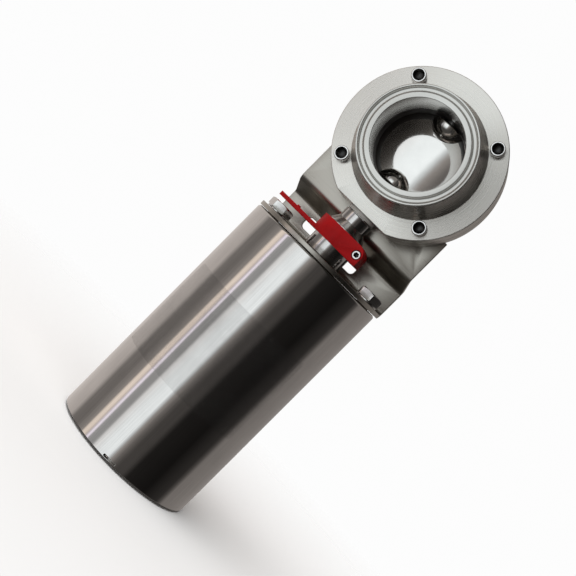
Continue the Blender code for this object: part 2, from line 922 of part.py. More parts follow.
def make_output_shaft():
    chamfer = 0.5
    shaft = turned(
        "output_shaft",
        [
            (0, SHAFT_TOP_Z),
            (COLLAR_R - chamfer, SHAFT_TOP_Z),
            (COLLAR_R, SHAFT_TOP_Z - chamfer),
            (COLLAR_R, COLLAR_Z),
            (NECK_R, NECK_TOP_Z),
            (NECK_R, CLIP_GROOVE_HIGH_Z),
            (CLIP_GROOVE_R, CLIP_GROOVE_HIGH_Z),
            (CLIP_GROOVE_R, CLIP_GROOVE_LOW_Z),
            (NECK_R, CLIP_GROOVE_LOW_Z),
            (NECK_R, SHOULDER_HIGH_Z),
            (SHOULDER_R, SHOULDER_HIGH_Z),
            (SHOULDER_R, SHOULDER_LOW_Z),
            (SHAFT_R, SHOULDER_LOW_Z),
            (SHAFT_R, SHAFT_BOTTOM_Z),
            (SHAFT_BORE_R, SHAFT_BOTTOM_Z),
            (SHAFT_BORE_R, SHAFT_BORE_TOP_Z),
            (0, SHAFT_BORE_TOP_Z + 4),
        ],
        STEEL,
        sides=COARSE,
    )
    half = STEM_SQUARE / 2 + GAP
    socket = block_cutter(
        "stem_socket_cutter",
        (-half, -half, SHAFT_TOP_Z - SQUARE_LENGTH - 1),
        (half, half, SHAFT_TOP_Z + FAR),
        corner=SQUARE_CORNER,
        along="Z",
    )
    slots = [helical_slot(f"helical_slot_{i + 1}", math.pi * i) for i in range(2)]
    cut(shaft, socket, *slots)
    turned(
        "shaft_bush",
        tube_outline(NECK_R + GAP, BUSH_R, BUSH_LOW_Z, BUSH_HIGH_Z),
        BRONZE,
        sides=COARSE,
    )
    turned(
        "shaft_seal",
        [
            (NECK_R + GAP, SEAL_HIGH_Z),
            (SEAL_R, SEAL_HIGH_Z),
            (SEAL_R, SEAL_LOW_Z),
            (BUSH_R, SEAL_LOW_Z),
            (BUSH_R, SEAL_LOW_Z + SEAL_LIP),
            (NECK_R + GAP, SEAL_LOW_Z + SEAL_LIP),
        ],
        RUBBER,
        sides=COARSE,
    )
    turned(
        "thrust_washer",
        tube_outline(NECK_R + GAP, THRUST_R, SHOULDER_HIGH_Z + GAP, THRUST_HIGH_Z),
        PLASTIC,
        sides=COARSE,
    )
    circlip = turned(
        "shaft_circlip",
        tube_outline(
            CLIP_GROOVE_R + 0.2, CLIP_R, CLIP_GROOVE_LOW_Z + 0.2, CLIP_GROOVE_HIGH_Z - 0.2
        ),
        SPRING_STEEL,
        sides=COARSE,
    )
    opening = block_cutter(
        "circlip_gap_cutter",
        (-CLIP_GAP, CLIP_R / 2, CLIP_GROOVE_LOW_Z - FAR),
        (CLIP_GAP, CLIP_R + FAR, CLIP_GROOVE_HIGH_Z + FAR),
    )
    cut(circlip, opening)


# ---------------------------------------------------------------- actuator housing


def make_shell():
    outline = [(SHELL_BORE_R, SHELL_TOP_Z)]
    outline += arc_points((SHELL_R - RIM, SHELL_TOP_Z - RIM), RIM, 90, 0, 3)
    outline += arc_points((SHELL_R - END_RIM, SHELL_BOTTOM_Z + END_RIM), END_RIM, 0, -90, 2)
    outline.append((SHELL_BORE_R, SHELL_BOTTOM_Z))
    for wire_z in (END_WIRE_Z, BASE_WIRE_Z):
        outline += [
            (SHELL_BORE_R, wire_z - WIRE_GROOVE_HALF),
            (WIRE_GROOVE_OUT_R, wire_z - WIRE_GROOVE_HALF),
            (WIRE_GROOVE_OUT_R, wire_z + WIRE_GROOVE_HALF),
            (SHELL_BORE_R, wire_z + WIRE_GROOVE_HALF),
        ]
    shell = turned("cylinder_shell", outline, STEEL)
    end_slot = block_cutter(
        "end_slot_cutter",
        (WIRE_SLOT_NEAR_X, -FAR, END_WIRE_Z - WIRE_SLOT_HALF),
        (WIRE_SLOT_FAR_X, 4 - SHELL_R, END_WIRE_Z + WIRE_SLOT_HALF),
    )
    base_slot = block_cutter(
        "base_slot_cutter",
        (-WIRE_SLOT_FAR_X, SHELL_R - 4, BASE_WIRE_Z - WIRE_SLOT_HALF),
        (-WIRE_SLOT_NEAR_X, FAR, BASE_WIRE_Z + WIRE_SLOT_HALF),
    )
    inlet_hole = rod_cutter(
        "inlet_hole_cutter", INLET_HOLE_R, 40, FAR, at=(0, 0, INLET_Z), turn=(-90, 0, 0)
    )
    breather_hole = rod_cutter(
        "breather_hole_cutter",
        BREATHER_HOLE_R,
        40,
        FAR,
        at=(0, 0, BREATHER_Z),
        turn=(-90, 0, 0),
        sides=12,
    )
    cut(shell, end_slot, base_slot, inlet_hole, breather_hole)


def make_label_film():
    film = turned(
        "label_film",
        tube_outline(SHELL_R + 0.1, SHELL_R + 0.3, FILM_LOW_Z, FILM_HIGH_Z),
        FILM,
    )
    front = block_cutter(
        "label_front_cutter",
        (-FILM_HALF_WIDTH, -FAR, FILM_LOW_Z - 1),
        (FILM_HALF_WIDTH, -20, FILM_HIGH_Z + 1),
    )
    combine(film, front, "INTERSECT")


def side_grooves(oring_z, wire_z):
    """Section of the side of the cap or the cover: grooves for an O-ring and a wire, downwards."""
    grooves = [
        (oring_z, ORING_GROOVE_R, ORING_GROOVE_HALF),
        (wire_z, WIRE_GROOVE_IN_R, WIRE_GROOVE_HALF),
    ]
    points = []
    for middle, floor_r, half in sorted(grooves, reverse=True):
        points += [
            (CAP_R, middle + half),
            (floor_r, middle + half),
            (floor_r, middle - half),
            (CAP_R, middle - half),
        ]
    return points


def make_end_cap():
    chamfer = 0.8
    outline = [(0, CAP_TOP_Z), (CAP_R - chamfer, CAP_TOP_Z), (CAP_R, CAP_TOP_Z - chamfer)]
    outline += side_grooves(END_ORING_Z, END_WIRE_Z)
    outline += [(CAP_R, CAP_EDGE_Z), (CAP_FACE_R, 0), (0, 0)]
    cap = turned("end_cap", outline, STEEL)
    port = rod_cutter(
        "inlet_port_cutter", INLET_PORT_R, 30, FAR, at=(0, 0, INLET_Z), turn=(-90, 0, 0)
    )
    passage = rod_cutter(
        "inlet_passage_cutter",
        INLET_PASSAGE_R,
        INLET_Z,
        CAP_TOP_Z + 3,
        at=(0, INLET_PASSAGE_Y, 0),
        sides=12,
    )
    cut(cap, port, passage)
    turned(
        "end_cap_oring",
        arc_points((ORING_RING_R, END_ORING_Z), ORING_R, 90, -210, 5),
        RUBBER,
        sides=ROUND,
    )


def make_base_cover():
    chamfer = 0.8
    seal_seat_z = SEAL_LOW_Z - GAP
    outline = [
        (SEAL_R + GAP, SHELL_TOP_Z),
        (CAP_R - chamfer, SHELL_TOP_Z),
        (CAP_R, SHELL_TOP_Z - chamfer),
    ]
    outline += side_grooves(BASE_ORING_Z, BASE_WIRE_Z)
    outline += [
        (CAP_R, COVER_BOTTOM_Z),
        (SLEEVE_R + GAP, COVER_BOTTOM_Z),
        (SLEEVE_R + GAP, COVER_STEP_Z),
        (COVER_BORE_R, COVER_STEP_Z),
        (COVER_BORE_R, seal_seat_z),
        (SEAL_R + GAP, seal_seat_z),
    ]
    cover = turned("base_cover", outline, STEEL)
    bolt_holes = [
        rod_cutter(
            f"cover_bolt_cutter_{i + 1}",
            BOLT_R + GAP,
            BOLT_END_Z - GAP,
            SHELL_TOP_Z + FAR,
            at=(x, 0, 0),
            sides=16,
        )
        for i, x in enumerate((-BOLT_X, BOLT_X))
    ]
    port = rod_cutter(
        "vent_port_cutter",
        VENT_PORT_R,
        VENT_PASSAGE_Y - 2,
        FAR,
        at=(0, 0, BREATHER_Z),
        turn=(-90, 0, 0),
        sides=12,
    )
    passage = rod_cutter(
        "vent_passage_cutter",
        VENT_PASSAGE_R,
        COVER_BOTTOM_Z - 5,
        BREATHER_Z,
        at=(0, VENT_PASSAGE_Y, 0),
        sides=10,
    )
    cut(cover, port, passage, *bolt_holes)
    turned(
        "base_cover_oring",
        arc_points((ORING_RING_R, BASE_ORING_Z), ORING_R, 90, -210, 5),
        RUBBER,
        sides=ROUND,
    )


def wire_ring(name, height, gap_angle):
    """A round wire fed into its groove. Its last end turns out into the slot in the shell."""
    curve = bpy.data.curves.new(name, "CURVE")
    curve.dimensions = "3D"
    curve.bevel_depth = WIRE_R * MM
    curve.bevel_resolution = 1
    curve.use_fill_caps = True
    steps = 36
    start = gap_angle + 3
    sweep = 348
    points = []
    for i in range(steps + 1):
        angle = math.radians(start + sweep * i / steps)
        points.append((WIRE_RING_R * math.cos(angle), WIRE_RING_R * math.sin(angle)))
    end_r = SHELL_R - 0.9
    angle = math.radians(start + sweep + 3.5)
    points.append((end_r * math.cos(angle), end_r * math.sin(angle)))
    spline = curve.splines.new("POLY")
    spline.points.add(len(points) - 1)
    for point, (x, y) in zip(spline.points, points):
        point.co = (x * MM, y * MM, height * MM, 1)
    return add_part(name, curve, BRIGHT)


def make_fittings():
    """Push-in air inlet with its release collar, and the breather of the spring side."""
    socket_r = 4.2  # takes the tube
    socket_end = 56.0
    collar_seat_r = 5.6
    collar_seat = 62.0
    nose_r = 7.0
    nose_end = 67.5
    hex_r = 8.08
    hex_low = 53.1
    hex_high = 59.6
    thread_r = 4.8
    thread_end = 36.0
    inlet = turned(
        "air_inlet_fitting",
        [
            (collar_seat_r, nose_end),
            (nose_r - 0.4, nose_end),
            (nose_r, nose_end - 0.4),
            (nose_r, hex_high + 0.4),
            (nose_r + 1, hex_high),
            (nose_r + 1, hex_low),
            (thread_r, hex_low),
            (thread_r, thread_end),
            (INLET_PASSAGE_R, thread_end),
            (INLET_PASSAGE_R, socket_end),
            (socket_r, socket_end),
            (socket_r, collar_seat),
            (collar_seat_r, collar_seat),
        ],
        BRIGHT,
        sides=COARSE,
        at=(0, 0, INLET_Z),
        turn=(-90, 0, 0),
    )
    hexagon = rod_cutter(
        "inlet_hex_cutter", hex_r, 50, hex_high, at=(0, 0, INLET_Z), turn=(-90, 0, 0), sides=6
    )
    beyond = rod_cutter(
        "inlet_hex_beyond", nose_r + 0.5, 59, 80, at=(0, 0, INLET_Z), turn=(-90, 0, 0)
    )
    thread = rod_cutter(
        "inlet_hex_thread", thread_r + 1.2, 20, 54, at=(0, 0, INLET_Z), turn=(-90, 0, 0)
    )
    join(hexagon, beyond, thread)
    combine(inlet, hexagon, "INTERSECT")

    lip_r = 6.2
    lip_low = 69.3
    lip_high = 71.5
    sleeve_r = collar_seat_r - 0.4
    sleeve_low = 64.3
    turned(
        "release_collar",
        [
            (socket_r, lip_high),
            (lip_r, lip_high),
            (lip_r, lip_low),
            (sleeve_r, lip_low),
            (sleeve_r, sleeve_low),
            (socket_r, sleeve_low),
        ],
        BLACK_PLASTIC,
        sides=COARSE,
        at=(0, 0, INLET_Z),
        turn=(-90, 0, 0),
    )

    vent_hex_r = 4.6
    vent_hex_low = 52.9
    vent_hex_high = 56.5
    vent_r = 3.4
    vent_end = 59.5
    stub_r = 2.3
    stub_end = 42.0
    breather = add_part(
        "breather",
        rod_mesh("breather", vent_hex_r, vent_hex_low, vent_hex_high, sides=6),
        BRONZE,
        at=(0, 0, BREATHER_Z),
        turn=(-90, 0, 0),
    )
    stub = turned_cutter(
        "breather_stub",
        [
            (0, vent_end),
            (vent_r - 1, vent_end),
            (vent_r, vent_end - 1),
            (vent_r, vent_hex_low + 1.1),
            (stub_r, vent_hex_low + 1.1),
            (stub_r, stub_end),
            (0, stub_end),
        ],
        sides=12,
        at=(0, 0, BREATHER_Z),
        turn=(-90, 0, 0),
    )
    join(breather, stub)


# ---------------------------------------------------------------- drive


def make_piston():
    top = PISTON_Z + PISTON_THICK
    hub_top = PIN_Z + 10
    wear_groove_r = 47.8
    wear_low = 29.0
    wear_high = 33.0
    seal_groove_r = 46.3
    seal_low = 23.5
    seal_high = 27.5
    recess_r = 28.0
    recess = 3.0
    piston = turned(
        "piston",
        [
            (0, top),
            (SHAFT_R + GAP, top),
            (SHAFT_R + GAP, hub_top),
            (HUB_WALL_R, hub_top),
            (HUB_WALL_R, top + 2),
            (HUB_WALL_R + 2, top),
            (PISTON_R, top),
            (PISTON_R, wear_high),
            (wear_groove_r, wear_high),
            (wear_groove_r, wear_low),
            (PISTON_R, wear_low),
            (PISTON_R, seal_high),
            (seal_groove_r, seal_high),
            (seal_groove_r, seal_low),
            (PISTON_R, seal_low),
            (PISTON_R, PISTON_Z + 1),
            (PISTON_R - 1, PISTON_Z),
            (recess_r + 2, PISTON_Z),
            (recess_r, PISTON_Z + recess),
            (0, PISTON_Z + recess),
        ],
        ALUMINIUM,
    )
    pin_hole = rod_cutter(
        "pin_hole_cutter", PIN_R + GAP, -FAR, FAR, at=(0, 0, PIN_Z), turn=(0, 90, 0), sides=16
    )
    cut(piston, pin_hole)
    turned(
        "piston_wear_ring",
        tube_outline(wear_groove_r + GAP, WEAR_RING_R, wear_low + GAP, wear_high - GAP),
        PLASTIC,
    )
    seal_inner = seal_groove_r + GAP
    turned(
        "piston_seal",
        [
            (seal_inner, seal_high - GAP),
            (PISTON_R - 0.1, seal_high - GAP),
            (WEAR_RING_R, seal_low + 0.7),
            (PISTON_R - 0.4, seal_low + GAP),
            (PISTON_R - 1.1, seal_low + 2.1),
            (seal_inner + 0.8, seal_low + GAP),
            (seal_inner, seal_low + GAP),
        ],
        RUBBER,
    )


def make_drive_pin():
    chamfer = 0.5
    turned(
        "drive_pin",
        [
            (0, PIN_HALF_LENGTH),
            (PIN_R - chamfer, PIN_HALF_LENGTH),
            (PIN_R, PIN_HALF_LENGTH - chamfer),
            (PIN_R, -PIN_HALF_LENGTH + chamfer),
            (PIN_R - chamfer, -PIN_HALF_LENGTH),
            (0, -PIN_HALF_LENGTH),
        ],
        BRIGHT,
        sides=16,
        at=(0, 0, PIN_Z),
        turn=(0, 90, 0),
    )
    for kind, low, high in (("drive", 8.7, 13.0), ("guide", 20.6, 23.3)):
        for i, side in enumerate((1, -1)):
            turned(
                f"{kind}_roller_{i + 1}",
                tube_outline(PIN_R + GAP, ROLLER_R, low, high),
                BRIGHT,
                sides=20,
                at=(0, 0, PIN_Z),
                turn=(0, 90 * side, 0),
            )


def make_guide_sleeve():
    sleeve = turned(
        "guide_sleeve",
        tube_outline(SLEEVE_BORE_R, SLEEVE_R, SHAFT_BOTTOM_Z, COVER_STEP_Z - GAP),
        STEEL,
        sides=COARSE,
    )
    slot = block_cutter(
        "guide_slot_cutter",
        (-FAR, -SLOT_R, PIN_Z - SLOT_R),
        (FAR, SLOT_R, PIN_Z + STROKE + SLOT_R),
        corner=SLOT_R - 0.1,
        along="X",
    )
    cut(sleeve, slot)


def coil_spring(name, radius, wire, turns, per_turn, hand):
    """A compression spring with closed ends, between the piston and the base cover."""
    low = PISTON_Z + PISTON_THICK + GAP + wire
    high = COVER_BOTTOM_Z - GAP - wire
    end_rise = 2 * wire * 1.15
    curve = bpy.data.curves.new(name, "CURVE")
    curve.dimensions = "3D"
    curve.bevel_depth = wire * MM
    curve.bevel_resolution = 1
    curve.use_fill_caps = True
    count = int(turns * per_turn)
    spline = curve.splines.new("POLY")
    spline.points.add(count)
    middle_rise = (high - low - 2 * end_rise) / (turns - 2)
    for i, point in enumerate(spline.points):
        turn = turns * i / count
        if turn < 1:
            height = low + end_rise * turn
        elif turn < turns - 1:
            height = low + end_rise + middle_rise * (turn - 1)
        else:
            height = high - end_rise * (turns - turn)
        angle = hand * 2 * math.pi * turn
        point.co = (
            radius * math.cos(angle) * MM,
            radius * math.sin(angle) * MM,
            height * MM,
            1,
        )
    return add_part(name, curve, SPRING_STEEL)


def smooth_all():
    for obj in PARTS.objects:
        if obj.type == "MESH" and obj.data.polygons:
            smooth(obj)


clear_scene()
PARTS = new_collection("pneumatic_actuated_valve")
CUTTERS = new_collection("cutters")

make_bodies()
make_disc()
make_seat()
make_stem_bushes()
make_body_fasteners()
make_bracket()
make_bracket_fasteners()
make_indicator()
make_output_shaft()
make_shell()
make_label_film()
make_end_cap()
make_base_cover()
wire_ring("end_retaining_wire", END_WIRE_Z, -80)
wire_ring("base_retaining_wire", BASE_WIRE_Z, 100)
make_fittings()
make_piston()
make_drive_pin()
make_guide_sleeve()
coil_spring("return_spring_outer", 42.0, 3.0, 6.5, 12, 1)
coil_spring("return_spring_inner", 29.0, 2.0, 8.5, 11, -1)
smooth_all()
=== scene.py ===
"""Looks of the pneumatic actuated valve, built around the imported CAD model.

Sizes are in millimetres in the CAD's own frame and MM turns them into metres. The actuator stands
on its end cap at Z = 0, +Z runs up the stem to the valve, and the pipe runs along Y.
"""

import json
import math

import bmesh
import bpy
from mathutils import Matrix, Vector


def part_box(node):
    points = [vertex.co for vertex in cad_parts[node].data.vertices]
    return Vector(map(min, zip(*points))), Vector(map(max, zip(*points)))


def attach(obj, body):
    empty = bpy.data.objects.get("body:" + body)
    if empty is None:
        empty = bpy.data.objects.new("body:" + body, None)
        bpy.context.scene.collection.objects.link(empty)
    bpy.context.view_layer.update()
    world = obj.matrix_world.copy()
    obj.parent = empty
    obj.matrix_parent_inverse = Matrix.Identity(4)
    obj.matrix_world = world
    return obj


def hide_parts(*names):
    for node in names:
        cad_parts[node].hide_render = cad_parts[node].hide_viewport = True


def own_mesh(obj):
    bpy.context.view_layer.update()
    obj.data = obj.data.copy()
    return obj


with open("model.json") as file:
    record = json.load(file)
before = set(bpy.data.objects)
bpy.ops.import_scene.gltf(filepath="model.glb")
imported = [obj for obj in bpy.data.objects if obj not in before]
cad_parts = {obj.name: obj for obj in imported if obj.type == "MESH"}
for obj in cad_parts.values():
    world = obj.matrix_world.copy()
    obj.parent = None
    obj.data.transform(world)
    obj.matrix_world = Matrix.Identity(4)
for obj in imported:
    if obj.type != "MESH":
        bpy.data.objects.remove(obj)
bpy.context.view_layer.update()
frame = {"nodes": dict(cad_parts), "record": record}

MM = 0.001
FINE = 192  # sides of a large round piece
SMALL = 96  # sides of a small round piece
FAR = 70.0  # how far a cutter reaches past what it cuts
FRONT = 90  # turn about X that sends a lathe's axis to -Y
REAR = -90  # and to +Y
WELD = 2e-6  # metres, the distance within which points are one point


def box_mm(node):
    """Lowest and highest corner of a CAD node, in millimetres."""
    low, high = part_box(node)
    return low / MM, high / MM


# ---------------------------------------------------------------- sizes from the frame

BODY_LOW, BODY_HIGH = box_mm("body_front")
SHELL_LOW, SHELL_HIGH = box_mm("cylinder_shell")
BRACKET_LOW, BRACKET_HIGH = box_mm("mounting_bracket")
RING_LOW, RING_HIGH = box_mm("position_indicator")
SHAFT_LOW, SHAFT_HIGH = box_mm("output_shaft")
CAP_HIGH = box_mm("end_cap")[1]
COVER_LOW, COVER_HIGH = box_mm("base_cover")

FLANGE_R = BODY_HIGH.x
BORE_Z = BODY_HIGH.z - FLANGE_R
FACE_Y = -BODY_LOW.y
HALF_GAP = -BODY_HIGH.y
FLAT_Z = BODY_LOW.z
FLANGE_Y = 13.0
BORE_R = 29.75
FERRULE_R = 38.75
RIM_EDGE = 2.85
RIM_SLOPE = 1.6
NECK_LENGTH = 1.6
HUB_FOOT = 2.0
GASKET_R = 35.25
UPPER_BUSH_R = 8.0
LOWER_BUSH_R = 9.0
LOWER_BUSH_FLANGE_R = 10.4
HUB_R = 43.0
HUB_TOP_R = 34.5
SEAT_R = 37.0
SEAT_Y = 9.0
DISC_R = 28.9
STEM_R = 7.0
TRUNNION_R = 6.0
STEM_SQUARE = 9.9
SQUARE_LENGTH = 13.0
SQUARE_CORNER = 0.6
SCREW_CIRCLE_R = 49.3
SCREW_R = 3.0
CLEARANCE = 0.3

SHEET = 3.0
CUT_REACH = 5.0  # how far the bracket's cutters pass the middle of its sheet
UPPER_PLATE_Y = 14.8
BEND_R = 4.5
JOGGLE_LOW_Z = 203.7
JOGGLE_HIGH_Z = 212.2
SHAFT_HOLE_R = 18.5
HUB_CLEARANCE_R = 44.5
WINDOW_LEFT = -31.3
WINDOW_RIGHT = 17.7
WINDOW_LOW_Z = 187.8
WINDOW_HIGH_Z = 197.2
WINDOW_CORNER = 3.0
WASHER_R = 8.2
BOLT_X = 41.5
BOLT_R = 4.8
BOLT_TURNS = (6, 45)
SHELL_R = SHELL_HIGH.x
SHELL_TOP_Z = SHELL_HIGH.z
SHELL_BOTTOM_Z = SHELL_LOW.z
SHELL_BORE_R = 49.8
RIM = 2.0
END_RIM = 0.6
SLOT_NEAR_X = 0.9
SLOT_FAR_X = 10.9
WIRE_SLOT_HALF = 0.9
WIRE_GROOVE_IN_R = 48.7
WIRE_GROOVE_OUT_R = 51.0
WIRE_GROOVE_HALF = 1.0
ORING_GROOVE_R = 47.2
ORING_GROOVE_HALF = 1.3
END_ORING_Z = 17.0
BASE_ORING_Z = 167.7
CAP_FACE_R = 44.0
CAP_EDGE_Z = 1.8
COVER_BORE_R = 17.5
COVER_STEP_Z = 168.0
SLEEVE_R = 23.5
SEAL_R = 19.0
BUSH_R = 17.2
CAP_R = CAP_HIGH.x
END_WIRE_Z = 3.0
BASE_WIRE_Z = 176.2
WIRE_RING_R = 49.7
NECK_R = 14.7
COLLAR_R = 10.8
COLLAR_Z = 211.0
NECK_TOP_Z = 205.9
CLIP_GROOVE_R = 13.6
CLIP_GROOVE_LOW_Z = 179.4
CLIP_GROOVE_HIGH_Z = 181.0
CLIP_R = 16.8
SHOULDER_LOW_Z = 162.8
SHOULDER_HIGH_Z = 166.3
SHAFT_R = 14.0
SHAFT_BORE_R = 8.0
SHAFT_BORE_TOP_Z = 150.0
SLOT_HALF_WIDTH = 5.75
SHAFT_TOP_Z = SHAFT_HIGH.z
PIN_Z = 87.0
STROKE = 40.0
INLET_Z = 9.5
INLET_HOLE_R = 5.3
INLET_PORT_R = 5.1
INLET_PASSAGE_Y = 34.0
INLET_PASSAGE_R = 2.5
BREATHER_Z = 172.0
BREATHER_HOLE_R = 2.8
VENT_PORT_R = 2.6
VENT_PASSAGE_Y = 38.0
VENT_PASSAGE_R = 1.5

BODY_OF = {
    node: body
    for body, nodes in frame["record"]["behaviour"]["bodies"].items()
    for node in nodes
}
SLOT_OF = {
    part["node"]: part["material_slot"] for part in frame["record"]["subparts"]
}


# ---------------------------------------------------------------- camera and light

CAMERA_AZIMUTH = 10.71
CAMERA_DISTANCE = 780.9
CAMERA_HEIGHT = 181.7
CAMERA_PITCH = -2.1
CAMERA_ROLL = 44.94
CAMERA_YAW = 0.054
LENS = 75.0

WHITE = (1.0, 1.0, 1.0)
WARM = (1.0, 0.92, 0.87)
CREAM = (1.0, 0.87, 0.76)
LILAC = (1.0, 0.93, 1.04)
COOL = (0.95, 1.0, 1.02)

# Brightness of the studio by compass angle from the camera, positive to its right. The last
# number says how much of a zone is a panel of limited height.
ZONES = (
    (-180, 0.68, WARM, 0),
    (-150, 0.70, WARM, 0),
    (-111, 0.60, WARM, 0),
    (-105, 0.40, WARM, 0),
    (-101, 0.24, WARM, 0),
    (-86, 0.21, WARM, 0),
    (-77, 0.29, WARM, 0),
    (-70, 0.37, WARM, 0),
    (-68, 1.10, CREAM, 1),
    (-63.5, 1.15, CREAM, 1),
    (-61, 0.80, CREAM, 1),
    (-58.5, 0.80, LILAC, 1),
    (-57, 1.40, LILAC, 1),
    (-55.5, 1.40, LILAC, 1),
    (-54, 0.45, WHITE, 1),
    (-43, 0.40, WHITE, 1),
    (-39, 1.05, WHITE, 1),
    (-28, 1.24, COOL, 1),
    (-14, 1.30, COOL, 1),
    (-11, 0.75, COOL, 1),
    (-8, 0.38, WARM, 1),
    (-2, 0.18, WARM, 0.5),
    (6, 0.078, WARM, 0),
    (18, 0.076, WARM, 0),
    (26, 0.018, WARM, 0),
    (60, 0.010, WARM, 0),
    (77, 0.028, WARM, 0),
    (87, 0.036, WARM, 0),
    (93, 0.10, WARM, 0),
    (99, 0.24, WARM, 0),
    (125, 0.27, WARM, 0),
    (160, 0.30, WARM, 0),
)


def make_camera():
    """Stands off at its azimuth, level with the actuator's top, rolled by half a right angle."""
    azimuth = math.radians(CAMERA_AZIMUTH)
    pitch = math.radians(CAMERA_PITCH)
    data = bpy.data.cameras.new("camera")
    data.lens = LENS
    data.clip_start = 0.01
    data.clip_end = 100.0
    camera = bpy.data.objects.new("camera", data)
    bpy.context.scene.collection.objects.link(camera)
    place = Vector((math.sin(azimuth), -math.cos(azimuth), 0)) * CAMERA_DISTANCE
    place.z = CAMERA_HEIGHT
    yaw = azimuth + math.radians(CAMERA_YAW)
    upright = Matrix.Rotation(yaw, 4, "Z") @ Matrix.Rotation(math.pi / 2 + pitch, 4, "X")
    roll = Matrix.Rotation(math.radians(CAMERA_ROLL), 4, "Z")
    camera.matrix_world = Matrix.Translation(place * MM) @ upright @ roll
    bpy.context.scene.camera = camera


def add_node(tree, kind, **settings):
    made = tree.nodes.new("ShaderNode" + kind)
    for name, value in settings.items():
        setattr(made, name, value)
    return made


def link(tree, source, target):
    tree.links.new(source, target)


def math_node(tree, operation, first, second=None, clamp=False):
    """A Math node fed with sockets or plain numbers. Returns its output."""
    made = add_node(tree, "Math", operation=operation, use_clamp=clamp)
    for socket, value in zip(made.inputs, (first, second)):
        if value is None:
            continue
        if isinstance(value, (int, float)):
            socket.default_value = value
        else:
            link(tree, value, socket)
    return made.outputs[0]


def make_world():
    """Panels and dark gaps around the object, seen only in reflections, on a white sweep."""
    world = bpy.data.worlds.new("studio")
    bpy.context.scene.world = world
    world.use_nodes = True
    tree = world.node_tree
    tree.nodes.clear()
    direction = add_node(tree, "TexCoord").outputs["Generated"]
    split = add_node(tree, "SeparateXYZ")
    link(tree, direction, split.inputs[0])
    toward_front = math_node(tree, "MULTIPLY", split.outputs[1], -1.0)
    azimuth = math_node(tree, "ARCTAN2", split.outputs[0], toward_front)
    turned = math_node(tree, "SUBTRACT", azimuth, math.radians(CAMERA_AZIMUTH))
    whole = math_node(tree, "DIVIDE", turned, 2 * math.pi)
    place = math_node(tree, "FRACT", math_node(tree, "ADD", whole, 0.5))

    ramp = add_node(tree, "ValToRGB")
    stops = ramp.color_ramp.elements
    stops.remove(stops[-1])
    brightest = max(level for _, level, _, _ in ZONES) * 1.05
    for i, (angle, level, tint, panel) in enumerate(ZONES):
        position = (angle + 180) / 360
        stop = stops[i] if i == 0 else stops.new(position)
        stop.position = position
        stop.color = [channel * level / brightest for channel in tint] + [panel]
    link(tree, place, ramp.inputs[0])

    height = math_node(tree, "ABSOLUTE", math_node(tree, "ADD", split.outputs[2], 0.03))
    past_panel = add_node(tree, "MapRange", interpolation_type="SMOOTHSTEP")
    past_panel.inputs["From Min"].default_value = 0.50
    past_panel.inputs["From Max"].default_value = 0.72
    link(tree, height, past_panel.inputs[0])
    share = math_node(tree, "MULTIPLY", past_panel.outputs[0], ramp.outputs["Alpha"])
    room = add_node(tree, "Mix", data_type="RGBA")
    room.inputs[7].default_value = (0.16, 0.15, 0.14, 1)
    link(tree, share, room.inputs[0])
    link(tree, ramp.outputs["Color"], room.inputs[6])

    below = add_node(tree, "MapRange", interpolation_type="SMOOTHSTEP")
    below.inputs["From Min"].default_value = -0.35
    below.inputs["From Max"].default_value = -0.70
    link(tree, split.outputs[2], below.inputs[0])
    table = add_node(tree, "Mix", data_type="RGBA")
    table.inputs[7].default_value = (0.05, 0.047, 0.044, 1)
    link(tree, below.outputs[0], table.inputs[0])
    link(tree, room.outputs[2], table.inputs[6])

    studio = add_node(tree, "Background")
    studio.inputs["Strength"].default_value = brightest
    link(tree, table.outputs[2], studio.inputs["Color"])
    sweep = add_node(tree, "Background")
    sweep.inputs["Color"].default_value = (1, 1, 1, 1)
    sweep.inputs["Strength"].default_value = 0.98
    choose = add_node(tree, "MixShader")
    seen = add_node(tree, "LightPath")
    link(tree, seen.outputs["Is Camera Ray"], choose.inputs[0])
    link(tree, studio.outputs[0], choose.inputs[1])
    link(tree, sweep.outputs[0], choose.inputs[2])
    output = add_node(tree, "OutputWorld")
    link(tree, choose.outputs[0], output.inputs[0])


def make_lights():
    """A soft overhead light that shades the floor and the plastic."""
    soft = bpy.data.lights.new("overhead", "SUN")
    soft.energy = 2.4
    soft.angle = math.radians(70)
    overhead = bpy.data.objects.new("overhead", soft)
    overhead.rotation_euler = (math.radians(28), math.radians(-14), 0)
    overhead.visible_glossy = False
    bpy.context.scene.collection.objects.link(overhead)


def make_floor():
    mesh = bpy.data.meshes.new("floor")
    bm = bmesh.new()
    bmesh.ops.create_circle(bm, cap_ends=True, segments=96, radius=12.0)
    bm.to_mesh(mesh)
    bm.free()
    floor = bpy.data.objects.new("floor", mesh)
    floor.location.z = -0.0003
    floor.visible_glossy = False
    bpy.context.scene.collection.objects.link(floor)
    material = bpy.data.materials.new("floor_pale")
    material.use_nodes = True
    tree = material.node_tree
    shader = tree.nodes["Principled BSDF"]
    shader.inputs["Roughness"].default_value = 0.9
    shader.inputs["Specular IOR Level"].default_value = 0.0
    noise = add_node(tree, "TexNoise")
    noise.inputs["Scale"].default_value = 3.0
    ramp = add_node(tree, "ValToRGB")
    ramp.color_ramp.elements[0].color = (0.93, 0.93, 0.925, 1)
    ramp.color_ramp.elements[1].color = (0.96, 0.96, 0.96, 1)
    link(tree, noise.outputs[0], ramp.inputs[0])
    link(tree, ramp.outputs[0], shader.inputs["Base Color"])
    coords = add_node(tree, "TexCoord").outputs["Object"]
    distance = add_node(tree, "VectorMath", operation="LENGTH")
    link(tree, coords, distance.inputs[0])
    fade = range_node(tree, distance.outputs["Value"], 1.0, 0.0, 0.12, 0.5)
    link(tree, fade, shader.inputs["Alpha"])
    mesh.materials.append(material)


# ---------------------------------------------------------------- materials


